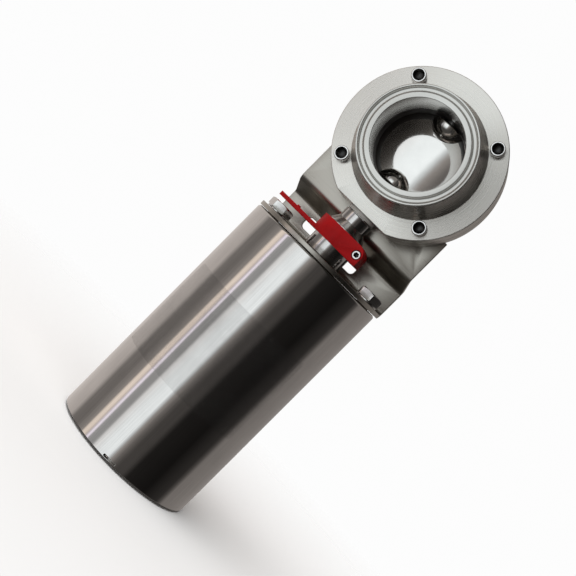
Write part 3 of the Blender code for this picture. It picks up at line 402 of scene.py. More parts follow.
def line_coordinates(tree, lines, centre, size):
    """Coordinates that are stretched along the tool marks, one unit to each mark's width."""
    coords = add_node(tree, "TexCoord").outputs["Object"]
    moved = add_node(tree, "VectorMath", operation="SUBTRACT")
    moved.inputs[1].default_value = [value * MM for value in centre]
    link(tree, coords, moved.inputs[0])
    vector = moved.outputs[0]
    step = 1 / (size * MM)
    if lines.startswith("around"):
        split = add_node(tree, "SeparateXYZ")
        link(tree, vector, split.inputs[0])
        across = [split.outputs[i] for i in range(3) if "xyz"[i] != lines[-1]]
        squares = [math_node(tree, "MULTIPLY", value, value) for value in across]
        radius = math_node(tree, "SQRT", math_node(tree, "ADD", *squares))
        joined = add_node(tree, "CombineXYZ")
        link(tree, radius, joined.inputs[0])
        link(tree, split.outputs["xyz".index(lines[-1])], joined.inputs[1])
        vector = joined.outputs[0]
        scale = (step, step, step)
    else:
        scale = [step * 0.012 if lines[-1] == axis else step for axis in "xyz"]
    scaled = add_node(tree, "VectorMath", operation="MULTIPLY")
    scaled.inputs[1].default_value = scale
    link(tree, vector, scaled.inputs[0])
    return scaled.outputs[0]


def ramp_node(tree, factor, *stops):
    """Colour ramp through (position, colour) stops. Returns its colour output."""
    ramp = add_node(tree, "ValToRGB")
    elements = ramp.color_ramp.elements
    for i, (position, colour) in enumerate(stops):
        stop = elements[i] if i < 2 else elements.new(position)
        stop.position = position
        stop.color = (*colour, 1)
    link(tree, factor, ramp.inputs[0])
    return ramp.outputs[0]


def range_node(tree, factor, low, high, start=0.3, end=0.7):
    made = add_node(tree, "MapRange")
    made.inputs["From Min"].default_value = start
    made.inputs["From Max"].default_value = end
    made.inputs["To Min"].default_value = low
    made.inputs["To Max"].default_value = high
    link(tree, factor, made.inputs[0])
    return made.outputs[0]


def noise_node(tree, vector, scale, detail=3.0):
    noise = add_node(tree, "TexNoise")
    noise.inputs["Scale"].default_value = scale
    noise.inputs["Detail"].default_value = detail
    if vector is not None:
        link(tree, vector, noise.inputs["Vector"])
    return noise.outputs[0]


def blank_material(name):
    material = bpy.data.materials.new(name)
    material.use_nodes = True
    return material, material.node_tree, material.node_tree.nodes["Principled BSDF"]


def metal(name, colour, rough, lines="along_z", size=0.5, depth=0.4, centre=(0, 0, 0), grain=0.0):
    """Steel with tool marks: streaks in tone and roughness, cloudy handling marks and fine relief.

    depth is the relief of the marks in micrometres, and grain the anisotropy of the gloss.
    """
    material, tree, shader = blank_material(name)
    marks = noise_node(tree, line_coordinates(tree, lines, centre, size), 1.0, 4.0)
    coords = add_node(tree, "TexCoord").outputs["Object"]
    clouds = noise_node(tree, coords, 55.0, 5.0)
    marks_share = math_node(tree, "MULTIPLY", marks, 0.6)
    clouds_share = math_node(tree, "MULTIPLY", clouds, 0.4)
    both = math_node(tree, "ADD", marks_share, clouds_share)
    dark = [channel * 0.90 for channel in colour]
    light = [min(channel * 1.06, 1.0) for channel in colour]
    link(tree, ramp_node(tree, both, (0.35, dark), (0.65, light)), shader.inputs["Base Color"])
    link(tree, range_node(tree, both, rough * 0.85, rough * 1.2), shader.inputs["Roughness"])
    shader.inputs["Metallic"].default_value = 1.0
    if grain:
        shader.inputs["Anisotropic"].default_value = grain
        shader.inputs["Anisotropic Rotation"].default_value = 0.25
        tangent = add_node(tree, "Tangent", direction_type="RADIAL", axis=lines[-1].upper())
        link(tree, tangent.outputs[0], shader.inputs["Tangent"])
    bump = add_node(tree, "Bump")
    bump.inputs["Strength"].default_value = 1.0
    bump.inputs["Distance"].default_value = depth * 1e-6
    link(tree, marks, bump.inputs["Height"])
    link(tree, bump.outputs[0], shader.inputs["Normal"])
    return material


def polished(name, colour, rough, ripple):
    """Mirror-polished steel whose surface rolls by some micrometres."""
    material, tree, shader = blank_material(name)
    coords = add_node(tree, "TexCoord").outputs["Object"]
    clouds = noise_node(tree, coords, 90.0, 4.0)
    dark = [channel * 0.93 for channel in colour]
    link(tree, ramp_node(tree, clouds, (0.35, dark), (0.7, colour)), shader.inputs["Base Color"])
    link(tree, range_node(tree, clouds, rough * 0.8, rough * 1.5), shader.inputs["Roughness"])
    shader.inputs["Metallic"].default_value = 1.0
    bump = add_node(tree, "Bump")
    bump.inputs["Strength"].default_value = 1.0
    bump.inputs["Distance"].default_value = ripple * 1e-6
    link(tree, noise_node(tree, coords, 140.0, 2.0), bump.inputs["Height"])
    link(tree, bump.outputs[0], shader.inputs["Normal"])
    return material


def moulded(name, colour, rough, texture=1.5, speck=(0.5, 0.45, 0.42), gloss=0.22):
    """Plastic or rubber with a soft mould texture and a little dust."""
    material, tree, shader = blank_material(name)
    coords = add_node(tree, "TexCoord").outputs["Object"]
    clouds = noise_node(tree, coords, 120.0, 5.0)
    dust = noise_node(tree, coords, 900.0, 2.0)
    dark = [channel * 0.78 for channel in colour]
    toned = ramp_node(tree, clouds, (0.3, dark), (0.7, colour))
    specks = range_node(tree, dust, 0.0, 0.25, 0.72, 0.82)
    mixed = add_node(tree, "Mix", data_type="RGBA")
    mixed.inputs[7].default_value = (*speck, 1)
    link(tree, specks, mixed.inputs[0])
    link(tree, toned, mixed.inputs[6])
    link(tree, mixed.outputs[2], shader.inputs["Base Color"])
    link(tree, range_node(tree, clouds, rough * 0.9, rough * 1.25), shader.inputs["Roughness"])
    shader.inputs["Specular IOR Level"].default_value = gloss
    bump = add_node(tree, "Bump")
    bump.inputs["Strength"].default_value = 0.6
    bump.inputs["Distance"].default_value = texture * 1e-5
    link(tree, noise_node(tree, coords, 1400.0, 2.0), bump.inputs["Height"])
    link(tree, bump.outputs[0], shader.inputs["Normal"])
    return material


def clear_film(name):
    """Thin clear film with a faint haze."""
    material, tree, shader = blank_material(name)
    coords = add_node(tree, "TexCoord").outputs["Object"]
    clouds = noise_node(tree, coords, 40.0, 3.0)
    haze = ramp_node(tree, clouds, (0.3, (0.035, 0.034, 0.033)), (0.7, (0.055, 0.054, 0.053)))
    link(tree, haze, shader.inputs["Base Color"])
    link(tree, range_node(tree, clouds, 0.10, 0.22), shader.inputs["Roughness"])
    link(tree, range_node(tree, clouds, 0.03, 0.06), shader.inputs["Alpha"])
    return material


PIPE_AXIS = (0, 0, BORE_Z)
MATERIALS = {
    "body_steel": metal(
        "body_steel", (0.70, 0.68, 0.64), 0.27, "around_y", 0.9, 1.2, PIPE_AXIS, 0.92
    ),
    "disc_steel": polished("disc_steel", (0.72, 0.71, 0.69), 0.07, 12.0),
    "shell_steel": metal("shell_steel", (0.62, 0.605, 0.59), 0.075, "along_z", 0.45, 0.35),
    "bracket_steel": metal("bracket_steel", (0.44, 0.42, 0.38), 0.30, "along_x", 0.5, 1.5),
    "shaft_steel": metal("shaft_steel", (0.55, 0.54, 0.535), 0.12, "around_z", 0.35, 0.6),
    "fastener_steel": metal("fastener_steel", (0.70, 0.69, 0.68), 0.20, "around_y", 0.4, 1.0),
    "inner_steel": metal("inner_steel", (0.45, 0.45, 0.45), 0.30, "around_z", 0.4, 1.0),
    "spring_steel": metal("spring_steel", (0.20, 0.20, 0.21), 0.35, "around_z", 0.6, 1.0),
    "piston_aluminium": metal("piston_aluminium", (0.60, 0.60, 0.61), 0.32, "around_z", 0.5, 1.2),
    "bearing_bronze": metal("bearing_bronze", (0.45, 0.30, 0.14), 0.45, "around_z", 0.5, 2.0),
    "indicator_red": moulded("indicator_red", (0.42, 0.008, 0.010), 0.42, gloss=0.10),
    "seat_silicone": moulded("seat_silicone", (0.05, 0.045, 0.042), 0.5, 1.0, (0.2, 0.19, 0.18)),
    "seal_rubber": moulded("seal_rubber", (0.02, 0.02, 0.02), 0.55, 1.0, (0.15, 0.15, 0.15)),
    "bush_plastic": moulded("bush_plastic", (0.75, 0.74, 0.70), 0.42, 0.8, (0.8, 0.79, 0.76)),
    "collar_plastic": moulded("collar_plastic", (0.03, 0.03, 0.035), 0.38, 1.0, (0.2, 0.2, 0.2)),
    "label_film": clear_film("label_film"),
}
FERRULE_STEEL = metal(
    "ferrule_steel", (0.55, 0.54, 0.515), 0.21, "around_y", 0.5, 0.8, PIPE_AXIS, 0.8
)
# Near-black steel for the walls of screw sockets: painted shade in the hex recess, not the steel's
# own colour.
SOCKET_PAINTED_SHADE = metal("socket_painted_shade", (0.06, 0.06, 0.06), 0.35, "around_y", 0.4, 1.0)
TURNED_STEEL = metal("turned_steel", (0.66, 0.65, 0.63), 0.24, "around_z", 0.5, 1.0, grain=0.4)


# ---------------------------------------------------------------- mesh tools


def turned_about(turn, at):
    """Matrix that turns a lathe's axis from Z and moves it, in millimetres."""
    return Matrix.Translation(at) @ Matrix.Rotation(math.radians(turn), 4, "X")


def rounded(corners, steps=5, closed=True):
    """An outline through (x, y, radius) corners, each rounded by an arc of its own radius."""
    points = []
    count = len(corners)
    for i, (x, y, radius) in enumerate(corners):
        inner = closed or 0 < i < count - 1
        if not radius or not inner:
            points.append((x, y))
            continue
        corner = Vector((x, y))
        back = (Vector(corners[i - 1][:2]) - corner).normalized()
        ahead = (Vector(corners[(i + 1) % count][:2]) - corner).normalized()
        half = back.angle(ahead) / 2
        centre = corner + (back + ahead).normalized() * (radius / math.sin(half))
        first = corner + back * (radius / math.tan(half)) - centre
        last = corner + ahead * (radius / math.tan(half)) - centre
        sweep = first.angle_signed(last)
        for step in range(steps + 1):
            turned = first.copy()
            turned.rotate(Matrix.Rotation(-sweep * step / steps, 2))
            points.append(tuple(centre + turned))
    return points


def lathe(outline, sides=FINE, place=None, flutes=None):
    """Closed surface of an outline of (radius, height) turned about Z.

    flutes is (count, depth, lowest, highest): a knurl on the widest radius between two heights.
    """
    bm = bmesh.new()
    rings = []
    widest = max(radius for radius, _ in outline)
    for radius, height in outline:
        if radius < 1e-6:
            rings.append([bm.verts.new((0, 0, height))])
            continue
        ring = []
        for i in range(sides):
            angle = 2 * math.pi * i / sides
            reach = radius
            if flutes and radius > widest - 0.01 and flutes[2] <= height <= flutes[3]:
                reach -= flutes[1] * (0.5 - 0.5 * math.cos(flutes[0] * angle))
            ring.append(bm.verts.new((reach * math.cos(angle), reach * math.sin(angle), height)))
        rings.append(ring)
    pairs = list(zip(rings, rings[1:]))
    if len(rings[0]) > 1 or len(rings[-1]) > 1:
        if len(rings[0]) > 1 and len(rings[-1]) > 1:
            pairs.append((rings[-1], rings[0]))
    for above, below in pairs:
        for i in range(sides):
            j = (i + 1) % sides
            if len(above) == 1 and len(below) > 1:
                bm.faces.new((above[0], below[i], below[j]))
            elif len(below) == 1 and len(above) > 1:
                bm.faces.new((above[i], below[0], above[j]))
            elif len(above) > 1:
                bm.faces.new((above[i], below[i], below[j], above[j]))
    if place is not None:
        bm.transform(place)
    bmesh.ops.recalc_face_normals(bm, faces=bm.faces)
    return bm


def prism(outline, low, high, place=None):
    """A flat outline of (x, y) extruded along Z."""
    bm = bmesh.new()
    bottom = [bm.verts.new((x, y, low)) for x, y in outline]
    top = [bm.verts.new((x, y, high)) for x, y in outline]
    count = len(outline)
    bm.faces.new(list(reversed(bottom)))
    bm.faces.new(top)
    for i in range(count):
        j = (i + 1) % count
        bm.faces.new((bottom[i], bottom[j], top[j], top[i]))
    if place is not None:
        bm.transform(place)
    bmesh.ops.recalc_face_normals(bm, faces=bm.faces)
    return bm


def polygon(radius, sides, turn=0.0):
    """Corners of a regular polygon."""
    start = math.radians(turn)
    return [
        (
            radius * math.cos(start + 2 * math.pi * i / sides),
            radius * math.sin(start + 2 * math.pi * i / sides),
        )
        for i in range(sides)
    ]


def block(low, high, radius=0.0, along="Z", steps=5):
    """A box between two corners whose edges along one axis are rounded."""
    first, second = {"X": (1, 2), "Y": (2, 0), "Z": (0, 1)}[along]
    third = "XYZ".index(along)
    corners = [
        (low[first], low[second], radius),
        (high[first], low[second], radius),
        (high[first], high[second], radius),
        (low[first], high[second], radius),
    ]
    place = Matrix.Identity(4)
    for column, axis in enumerate((first, second, third)):
        for row in range(3):
            place[row][column] = 1.0 if row == axis else 0.0
    return prism(rounded(corners, steps), low[third], high[third], place)


def rod(radius, low, high, place=None, sides=SMALL):
    return prism(polygon(radius, sides), low, high, place)


def mesh_object(name, bm):
    """Turns a bmesh in millimetres into an object in metres."""
    bm.transform(Matrix.Scale(MM, 4))
    mesh = bpy.data.meshes.new(name)
    bm.to_mesh(mesh)
    bm.free()
    obj = bpy.data.objects.new(name, mesh)
    bpy.context.scene.collection.objects.link(obj)
    return obj


def settle(obj):
    """Replaces an object's mesh by what its modifiers make of it."""
    graph = bpy.context.evaluated_depsgraph_get()
    mesh = bpy.data.meshes.new_from_object(obj.evaluated_get(graph))
    old = obj.data
    obj.modifiers.clear()
    obj.data = mesh
    bpy.data.meshes.remove(old)


def heal(obj, weld=WELD):
    """Welds points that a cut has left close together and closes slivers."""
    bm = bmesh.new()
    bm.from_mesh(obj.data)
    bmesh.ops.remove_doubles(bm, verts=bm.verts, dist=weld)
    bmesh.ops.dissolve_degenerate(bm, dist=WELD / 4, edges=bm.edges)
    torn = [edge for edge in bm.edges if len(edge.link_faces) == 1]
    if torn:
        bmesh.ops.holes_fill(bm, edges=torn, sides=0)
    loose = [vertex for vertex in bm.verts if not vertex.link_faces]
    bmesh.ops.delete(bm, geom=loose, context="VERTS")
    bm.to_mesh(obj.data)
    bm.free()


def combine(obj, bms, operation="DIFFERENCE"):
    """Cuts or joins bmeshes in millimetres into an object."""
    others = []
    for i, bm in enumerate(bms):
        other = mesh_object(f"{obj.name}_tool_{i}", bm)
        others.append(other)
        modifier = obj.modifiers.new("combine", "BOOLEAN")
        modifier.operation = operation
        modifier.solver = "EXACT"
        modifier.object = other
    settle(obj)
    heal(obj)
    for other in others:
        bpy.data.objects.remove(other)


def soften(obj, width=0.3, angle=40, segments=2):
    """Rounds the sharp edges that cuts have left."""
    modifier = obj.modifiers.new("soften", "BEVEL")
    modifier.width = width * MM
    modifier.segments = segments
    modifier.limit_method = "ANGLE"
    modifier.angle_limit = math.radians(angle)
    modifier.use_clamp_overlap = True
    modifier.harden_normals = False
    settle(obj)
    heal(obj)


def dress(obj, *nodes, material=None, sharp=32):
    """Gives a piece its finish and its body, and hides the CAD nodes that it stands for."""
    slot = SLOT_OF[nodes[0]]
    obj.data.materials.clear()
    obj.data.materials.append(material or MATERIALS[slot])
    if obj.type == "MESH":
        obj.data.shade_smooth()
        obj.data.set_sharp_from_angle(angle=math.radians(sharp))
    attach(obj, BODY_OF[nodes[0]])
    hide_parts(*nodes)
    return obj


# ---------------------------------------------------------------- valve


def screw_places():
    reach = SCREW_CIRCLE_R / math.sqrt(2)
    return [(side * reach, BORE_Z + up * reach) for up in (1, -1) for side in (-1, 1)]


def make_bodies():
    """Body halves with a gasket groove in the ferrule's face and a tapered hub."""
    groove_half = 2.1
    groove_floor = FACE_Y - 1.6
    rim_low = FACE_Y - RIM_EDGE
    neck_high = rim_low - RIM_SLOPE
    bore_top = BORE_Z + 47.3
    outline = rounded(
        [
            (BORE_R, FACE_Y, 0.35),
            (GASKET_R - groove_half, FACE_Y, 0.5),
            (GASKET_R - groove_half / 2, groove_floor, 0.7),
            (GASKET_R + groove_half / 2, groove_floor, 0.7),
            (GASKET_R + groove_half, FACE_Y, 0.5),
            (FERRULE_R, FACE_Y, 0.55),
            (FERRULE_R, rim_low, 0.5),
            (HUB_TOP_R, neck_high, 0.8),
            (HUB_TOP_R, neck_high - NECK_LENGTH, 1.5),
            (HUB_R, FLANGE_Y + HUB_FOOT, 0.8),
            (HUB_R, FLANGE_Y, 0.9),
            (FLANGE_R, FLANGE_Y, 0.6),
            (FLANGE_R, HALF_GAP, 0.35),
            (SEAT_R + CLEARANCE, HALF_GAP, 0),
            (SEAT_R + CLEARANCE, SEAT_Y + CLEARANCE, 0),
            (BORE_R, SEAT_Y + CLEARANCE, 0.2),
        ]
    )
    for node, turn in (("body_front", FRONT), ("body_rear", REAR)):
        place = turned_about(turn, (0, 0, BORE_Z))
        body = mesh_object(node + "_finished", lathe(outline, FINE, place))
        flat = block((-FAR, -FAR, FLAT_Z - FAR), (FAR, FAR, FLAT_Z))
        stem_bore = lathe(
            [
                (0, bore_top),
                (UPPER_BUSH_R + CLEARANCE, bore_top),
                (UPPER_BUSH_R + CLEARANCE, BORE_Z),
                (LOWER_BUSH_R + CLEARANCE, BORE_Z),
                (LOWER_BUSH_R + CLEARANCE, BORE_Z - FAR),
                (0, BORE_Z - FAR),
            ],
            SMALL,
        )
        holes = [
            rod(SCREW_R + CLEARANCE, -FAR, FAR, turned_about(FRONT, (x, 0, z)), 32)
            for x, z in screw_places()
        ]
        combine(body, [flat])
        soften(body, 0.25, 50)
        combine(body, [stem_bore, *holes])
        dress(body, node)
        body.data.materials.append(FERRULE_STEEL)
        ferrule_from = FACE_Y - 6.5
        for face in body.data.polygons:
            middle = face.center / MM
            from_axis = math.hypot(middle.x, middle.z - BORE_Z)
            if abs(middle.y) > ferrule_from or from_axis < BORE_R + 0.2:
                face.material_index = 1


def make_seat():
    inner = DISC_R + CLEARANCE
    mouth = inner + 0.5
    land = 5.0
    outline = rounded(
        [
            (mouth, SEAT_Y, 0.2),
            (SEAT_R, SEAT_Y, 0.3),
            (SEAT_R, -SEAT_Y, 0.3),
            (mouth, -SEAT_Y, 0.2),
            (inner, -land, 1.0),
            (inner, land, 1.0),
        ]
    )
    seat = mesh_object(
        "seat_finished", lathe(outline, FINE, turned_about(FRONT, (0, 0, BORE_Z)))
    )
    upper = rod(TRUNNION_R + CLEARANCE, BORE_Z, BORE_Z + FAR)
    lower = rod(STEM_R + CLEARANCE, BORE_Z - FAR, BORE_Z)
    combine(seat, [upper, lower])
    dress(seat, "seat")


def make_disc():
    """Domed disc with a ball-shaped boss at each end of its stem."""
    rim_half = 1.2
    dome = 3.5
    steps = 24
    side = []
    for i in range(steps + 1):
        radius = DISC_R * i / steps
        side.append((radius, rim_half + dome * (1 - (radius / DISC_R) ** 2)))
    lens = side + [(radius, -height) for radius, height in reversed(side)]
    disc = mesh_object(
        "disc_finished", lathe(lens, FINE, turned_about(FRONT, (0, 0, BORE_Z)))
    )
    ball_r = 12.3
    ball_at = 27.5
    arc = []
    for i in range(20):
        angle = math.radians(-8 - 82 * i / 20)
        arc.append((ball_r * math.cos(angle), ball_at + ball_r * math.sin(angle)))
    trunnion_end = 45.0
    boss_end = 27.8
    boss_root = (12.0, 26.2)
    outline = [(0, trunnion_end), (TRUNNION_R, trunnion_end), (TRUNNION_R, boss_end)]
    outline += [(STEM_R + 0.5, boss_end), boss_root]
    centre = Matrix.Translation((0, 0, BORE_Z))
    upper = lathe(outline + arc + [(0, ball_at - ball_r)], SMALL, centre)
    stem_end = BORE_Z - SHAFT_TOP_Z - 0.5
    lower_outline = [(0, -ball_at + ball_r)]
    lower_outline += [(radius, -height) for radius, height in reversed(arc)]
    lower_outline += [(boss_root[0], -boss_root[1]), (STEM_R + 0.5, -boss_end)]
    lower_outline += [(STEM_R, -boss_end), (STEM_R, -stem_end), (0, -stem_end)]
    lower = lathe(lower_outline, SMALL, centre)
    half = STEM_SQUARE / 2
    square_low = SHAFT_TOP_Z - SQUARE_LENGTH
    square = block((-half, -half, square_low), (half, half, SHAFT_TOP_Z + 3), SQUARE_CORNER)
    combine(disc, [upper, lower, square], "UNION")
    soften(disc, 0.35, 35, 3)
    dress(disc, "disc", sharp=50)


def threaded(radius, start, end, pitch=1.0, depth=0.5):
    """Outline points of a row of thread ridges down a rod."""
    points = []
    height = start
    step = -pitch if end < start else pitch
    while (end - height) * step > 0:
        points.append((radius, height))
        points.append((radius - depth, height + step / 2))
        height += step
    return points


def make_body_fasteners():
    """Socket screws with knurled heads, and chamfered hexagon nuts behind."""
    for i, (x, z) in enumerate(screw_places()):
        low, high = box_mm(f"body_screw_{i + 1}")
        head_r = (high.x - low.x) / 2
        head_high = -low.y
        head_low = FLANGE_Y + 0.1
        tail = -high.y
        place = turned_about(FRONT, (x, 0, z))
        outline = rounded(
            [
                (0, head_high, 0),
                (head_r - 0.15, head_high, 0.5),
                (head_r, head_high - 1.0, 0.2),
                (head_r, head_low + 0.7, 0),
                (head_r - 0.3, head_low, 0.1),
                (SCREW_R, head_low, 0),
            ],
            4,
            closed=False,
        )
        outline += threaded(SCREW_R, 0, tail + 0.6)
        outline += [(SCREW_R - 0.6, tail), (0, tail)]
        knurl = (32, 0.16, head_low, head_high - 1.0)
        screw = mesh_object(
            f"body_screw_{i + 1}_finished", lathe(outline, 128, place, knurl)
        )
        floor = head_high - 3.0
        sink = lathe([(0, head_high + 1), (4.9, head_high + 1), (0, head_high - 3.9)], 64, place)
        socket = lathe(
            [(0, head_high + 1), (3.1, head_high + 1), (3.1, floor), (0, floor - 1.2)], 6, place
        )
        combine(screw, [sink, socket])
        soften(screw, 0.12, 50)
        dress(screw, f"body_screw_{i + 1}")
        # Painted shade on the walls of the socket.
        paint_socket_shade(screw, (x, z), 3.85, head_high - 0.15)

        nut_low, nut_high = box_mm(f"body_nut_{i + 1}")
        make_nut(f"body_nut_{i + 1}", nut_low.y, nut_high.y, (x, 0, z))


def paint_socket_shade(screw, centre, reach, face):
    """Paints shade onto the walls and mouth of a screw's socket with near-black steel: painted
    shade in the recess.
    """
    screw.data.materials.append(SOCKET_PAINTED_SHADE)
    for polygon_face in screw.data.polygons:
        place = polygon_face.center / MM
        from_axis = math.hypot(place.x - centre[0], place.z - centre[1])
        if 0.8 < from_axis < reach and -place.y < face and place.y < 0:
            polygon_face.material_index = 1


def make_nut(node, low, high, at):
    """A hexagon whose corners are turned down on both faces."""
    across = 5.77
    bore = SCREW_R + 0.2
    place = turned_about(REAR, at)
    hexagon = prism(polygon(across, 6, 30), low - 1, high + 1, place)
    nut = mesh_object(node + "_finished", hexagon)
    flat = across * math.cos(math.pi / 6)
    chamfer = lathe(
        [
            (0, high),
            (flat - 0.1, high),
            (across + 0.1, high - 0.75),
            (across + 0.1, low + 0.75),
            (flat - 0.1, low),
            (0, low),
        ],
        SMALL,
        place,
    )
    combine(nut, [chamfer], "INTERSECT")
    combine(nut, [rod(bore, low - 2, high + 2, place, 48)])
    soften(nut, 0.15, 40)
    dress(nut, node, material=MATERIALS["fastener_steel"])


def make_stem_bush():
    low, high = box_mm("stem_bush_lower")
    outline = rounded(
        [
            (STEM_R + CLEARANCE, high.z, 0.2),
            (LOWER_BUSH_R, high.z, 0.3),
            (LOWER_BUSH_R, FLAT_Z - 0.2, 0.2),
            (LOWER_BUSH_FLANGE_R, FLAT_Z - 0.2, 0.3),
            (LOWER_BUSH_FLANGE_R, low.z, 0.3),
            (STEM_R + CLEARANCE, low.z, 0.2),
        ]
    )
    dress(mesh_object("stem_bush_lower_finished", lathe(outline, SMALL)), "stem_bush_lower")


# ---------------------------------------------------------------- bracket


def make_bracket():
    """Folded sheet: foot, upright, joggle and the plate behind the flange."""
    foot_z = BRACKET_LOW.z + SHEET / 2
    lower_y = BRACKET_HIGH.y - SHEET / 2
    path = [
        (-60.0, foot_z, 0),
        (lower_y, foot_z, BEND_R),
        (lower_y, JOGGLE_LOW_Z, BEND_R),
        (UPPER_PLATE_Y, JOGGLE_HIGH_Z, BEND_R),
        (UPPER_PLATE_Y, BRACKET_HIGH.z, 0),
    ]
    middle = [Vector(point) for point in rounded(path, 12, closed=False)]
    near = []
    far = []
    for i, point in enumerate(middle):
        before = middle[max(i - 1, 0)]
        after = middle[min(i + 1, len(middle) - 1)]
        along = (after - before).normalized()
        across = Vector((-along.y, along.x))
        near.append(tuple(point + across * SHEET / 2))
        far.append(tuple(point - across * SHEET / 2))
    outline = near + list(reversed(far))
    half = BRACKET_HIGH.x
    # The outline's (y, z) runs in the prism's (x, y), so its height is the sheet's width.
    place = Matrix(((0, 0, 1, 0), (1, 0, 0, 0), (0, 1, 0, 0), (0, 0, 0, 1)))
    bracket = mesh_object("mounting_bracket_finished", prism(outline, -half, half, place))
    foot_low = foot_z - CUT_REACH
    foot_high = foot_z + CUT_REACH
    outside = lathe(
        [
            (SHELL_R, foot_high),
            (SHELL_R + FAR, foot_high),
            (SHELL_R + FAR, foot_low),
            (SHELL_R, foot_low),
        ],
        FINE,
    )
    outside_ring = mesh_object("foot_outside", outside)
    back_half = block((-3 * FAR, 0, foot_low - 5), (3 * FAR, 3 * FAR, foot_high + 5))
    combine(outside_ring, [back_half])
    modifier = bracket.modifiers.new("foot", "BOOLEAN")
    modifier.operation = "DIFFERENCE"
    modifier.object = outside_ring
    settle(bracket)
    bpy.data.objects.remove(outside_ring)
    cuts = [rod(SHAFT_HOLE_R, foot_low, foot_high)]
    for x in (-BOLT_X, BOLT_X):
        bolt_place = Matrix.Translation((x, 0, 0))
        cuts.append(rod(BOLT_R + 0.5, foot_low, foot_high, bolt_place, 48))
    window_low = (WINDOW_LEFT, lower_y - CUT_REACH, WINDOW_LOW_Z)
    window_high = (WINDOW_RIGHT, lower_y + CUT_REACH, WINDOW_HIGH_Z)
    cuts.append(block(window_low, window_high, WINDOW_CORNER, "Y", 8))
    near = UPPER_PLATE_Y - CUT_REACH
    far = UPPER_PLATE_Y + CUT_REACH
    cuts.append(rod(HUB_CLEARANCE_R, near, far, turned_about(REAR, (0, 0, BORE_Z)), FINE))
    for x, z in screw_places():
        if z < BORE_Z:
            hole_place = turned_about(REAR, (x, 0, z))
            cuts.append(rod(SCREW_R + CLEARANCE, near, far, hole_place, 32))
    combine(bracket, cuts)
    soften(bracket, 0.4, 45, 3)
    dress(bracket, "mounting_bracket")


def make_bracket_fasteners():
    """Hexagon bolts with turned-down corners on split spring washers."""
    for i, x in enumerate((-BOLT_X, BOLT_X)):
        low, high = box_mm(f"bracket_bolt_{i + 1}")
        washer_low, washer_high = box_mm(f"bracket_washer_{i + 1}")
        head_low = washer_high.z + 0.1
        place = Matrix.Translation((x, 0, 0))
        across = 9.24
        flat = across * math.cos(math.pi / 6)
        bolt = mesh_object(
            f"bracket_bolt_{i + 1}_finished",
            prism(polygon(across, 6, BOLT_TURNS[i]), head_low - 1, high.z + 1, place),
        )
        turned_down = lathe(
            [
                (0, high.z),
                (flat - 0.4, high.z),
                (across + 0.1, high.z - 0.95),
                (across + 0.1, head_low + 0.3),
                (flat - 0.1, head_low),
                (0, head_low),
            ],
            SMALL,
            place,
        )
        combine(bolt, [turned_down], "INTERSECT")
        shank = [(0, head_low + 2), (BOLT_R, head_low + 2), (BOLT_R, head_low - 6)]
        shank += threaded(BOLT_R, head_low - 6, low.z + 1)
        shank += [(BOLT_R - 0.8, low.z), (0, low.z)]
        combine(bolt, [lathe(shank, 64, place)], "UNION")
        soften(bolt, 0.2, 40)
        dress(bolt, f"bracket_bolt_{i + 1}")

        ring = rounded(
            [
                (BOLT_R + CLEARANCE, washer_high.z, 0.1),
                (WASHER_R, washer_high.z, 0.25),
                (WASHER_R, washer_low.z, 0.25),
                (BOLT_R + CLEARANCE, washer_low.z, 0.1),
            ],
            3,
        )
        washer = mesh_object(f"bracket_washer_{i + 1}_finished", lathe(ring, SMALL, place))
        slit_place = Matrix.Translation((x, 0, 0)) @ Matrix.Rotation(math.radians(35), 4, "Z")
        slit = block((2, -0.5, washer_low.z - 2), (12, 0.5, washer_high.z + 2))
        slit.transform(slit_place)
        combine(washer, [slit])
        dress(washer, f"bracket_washer_{i + 1}")


# ---------------------------------------------------------------- indicator and shaft


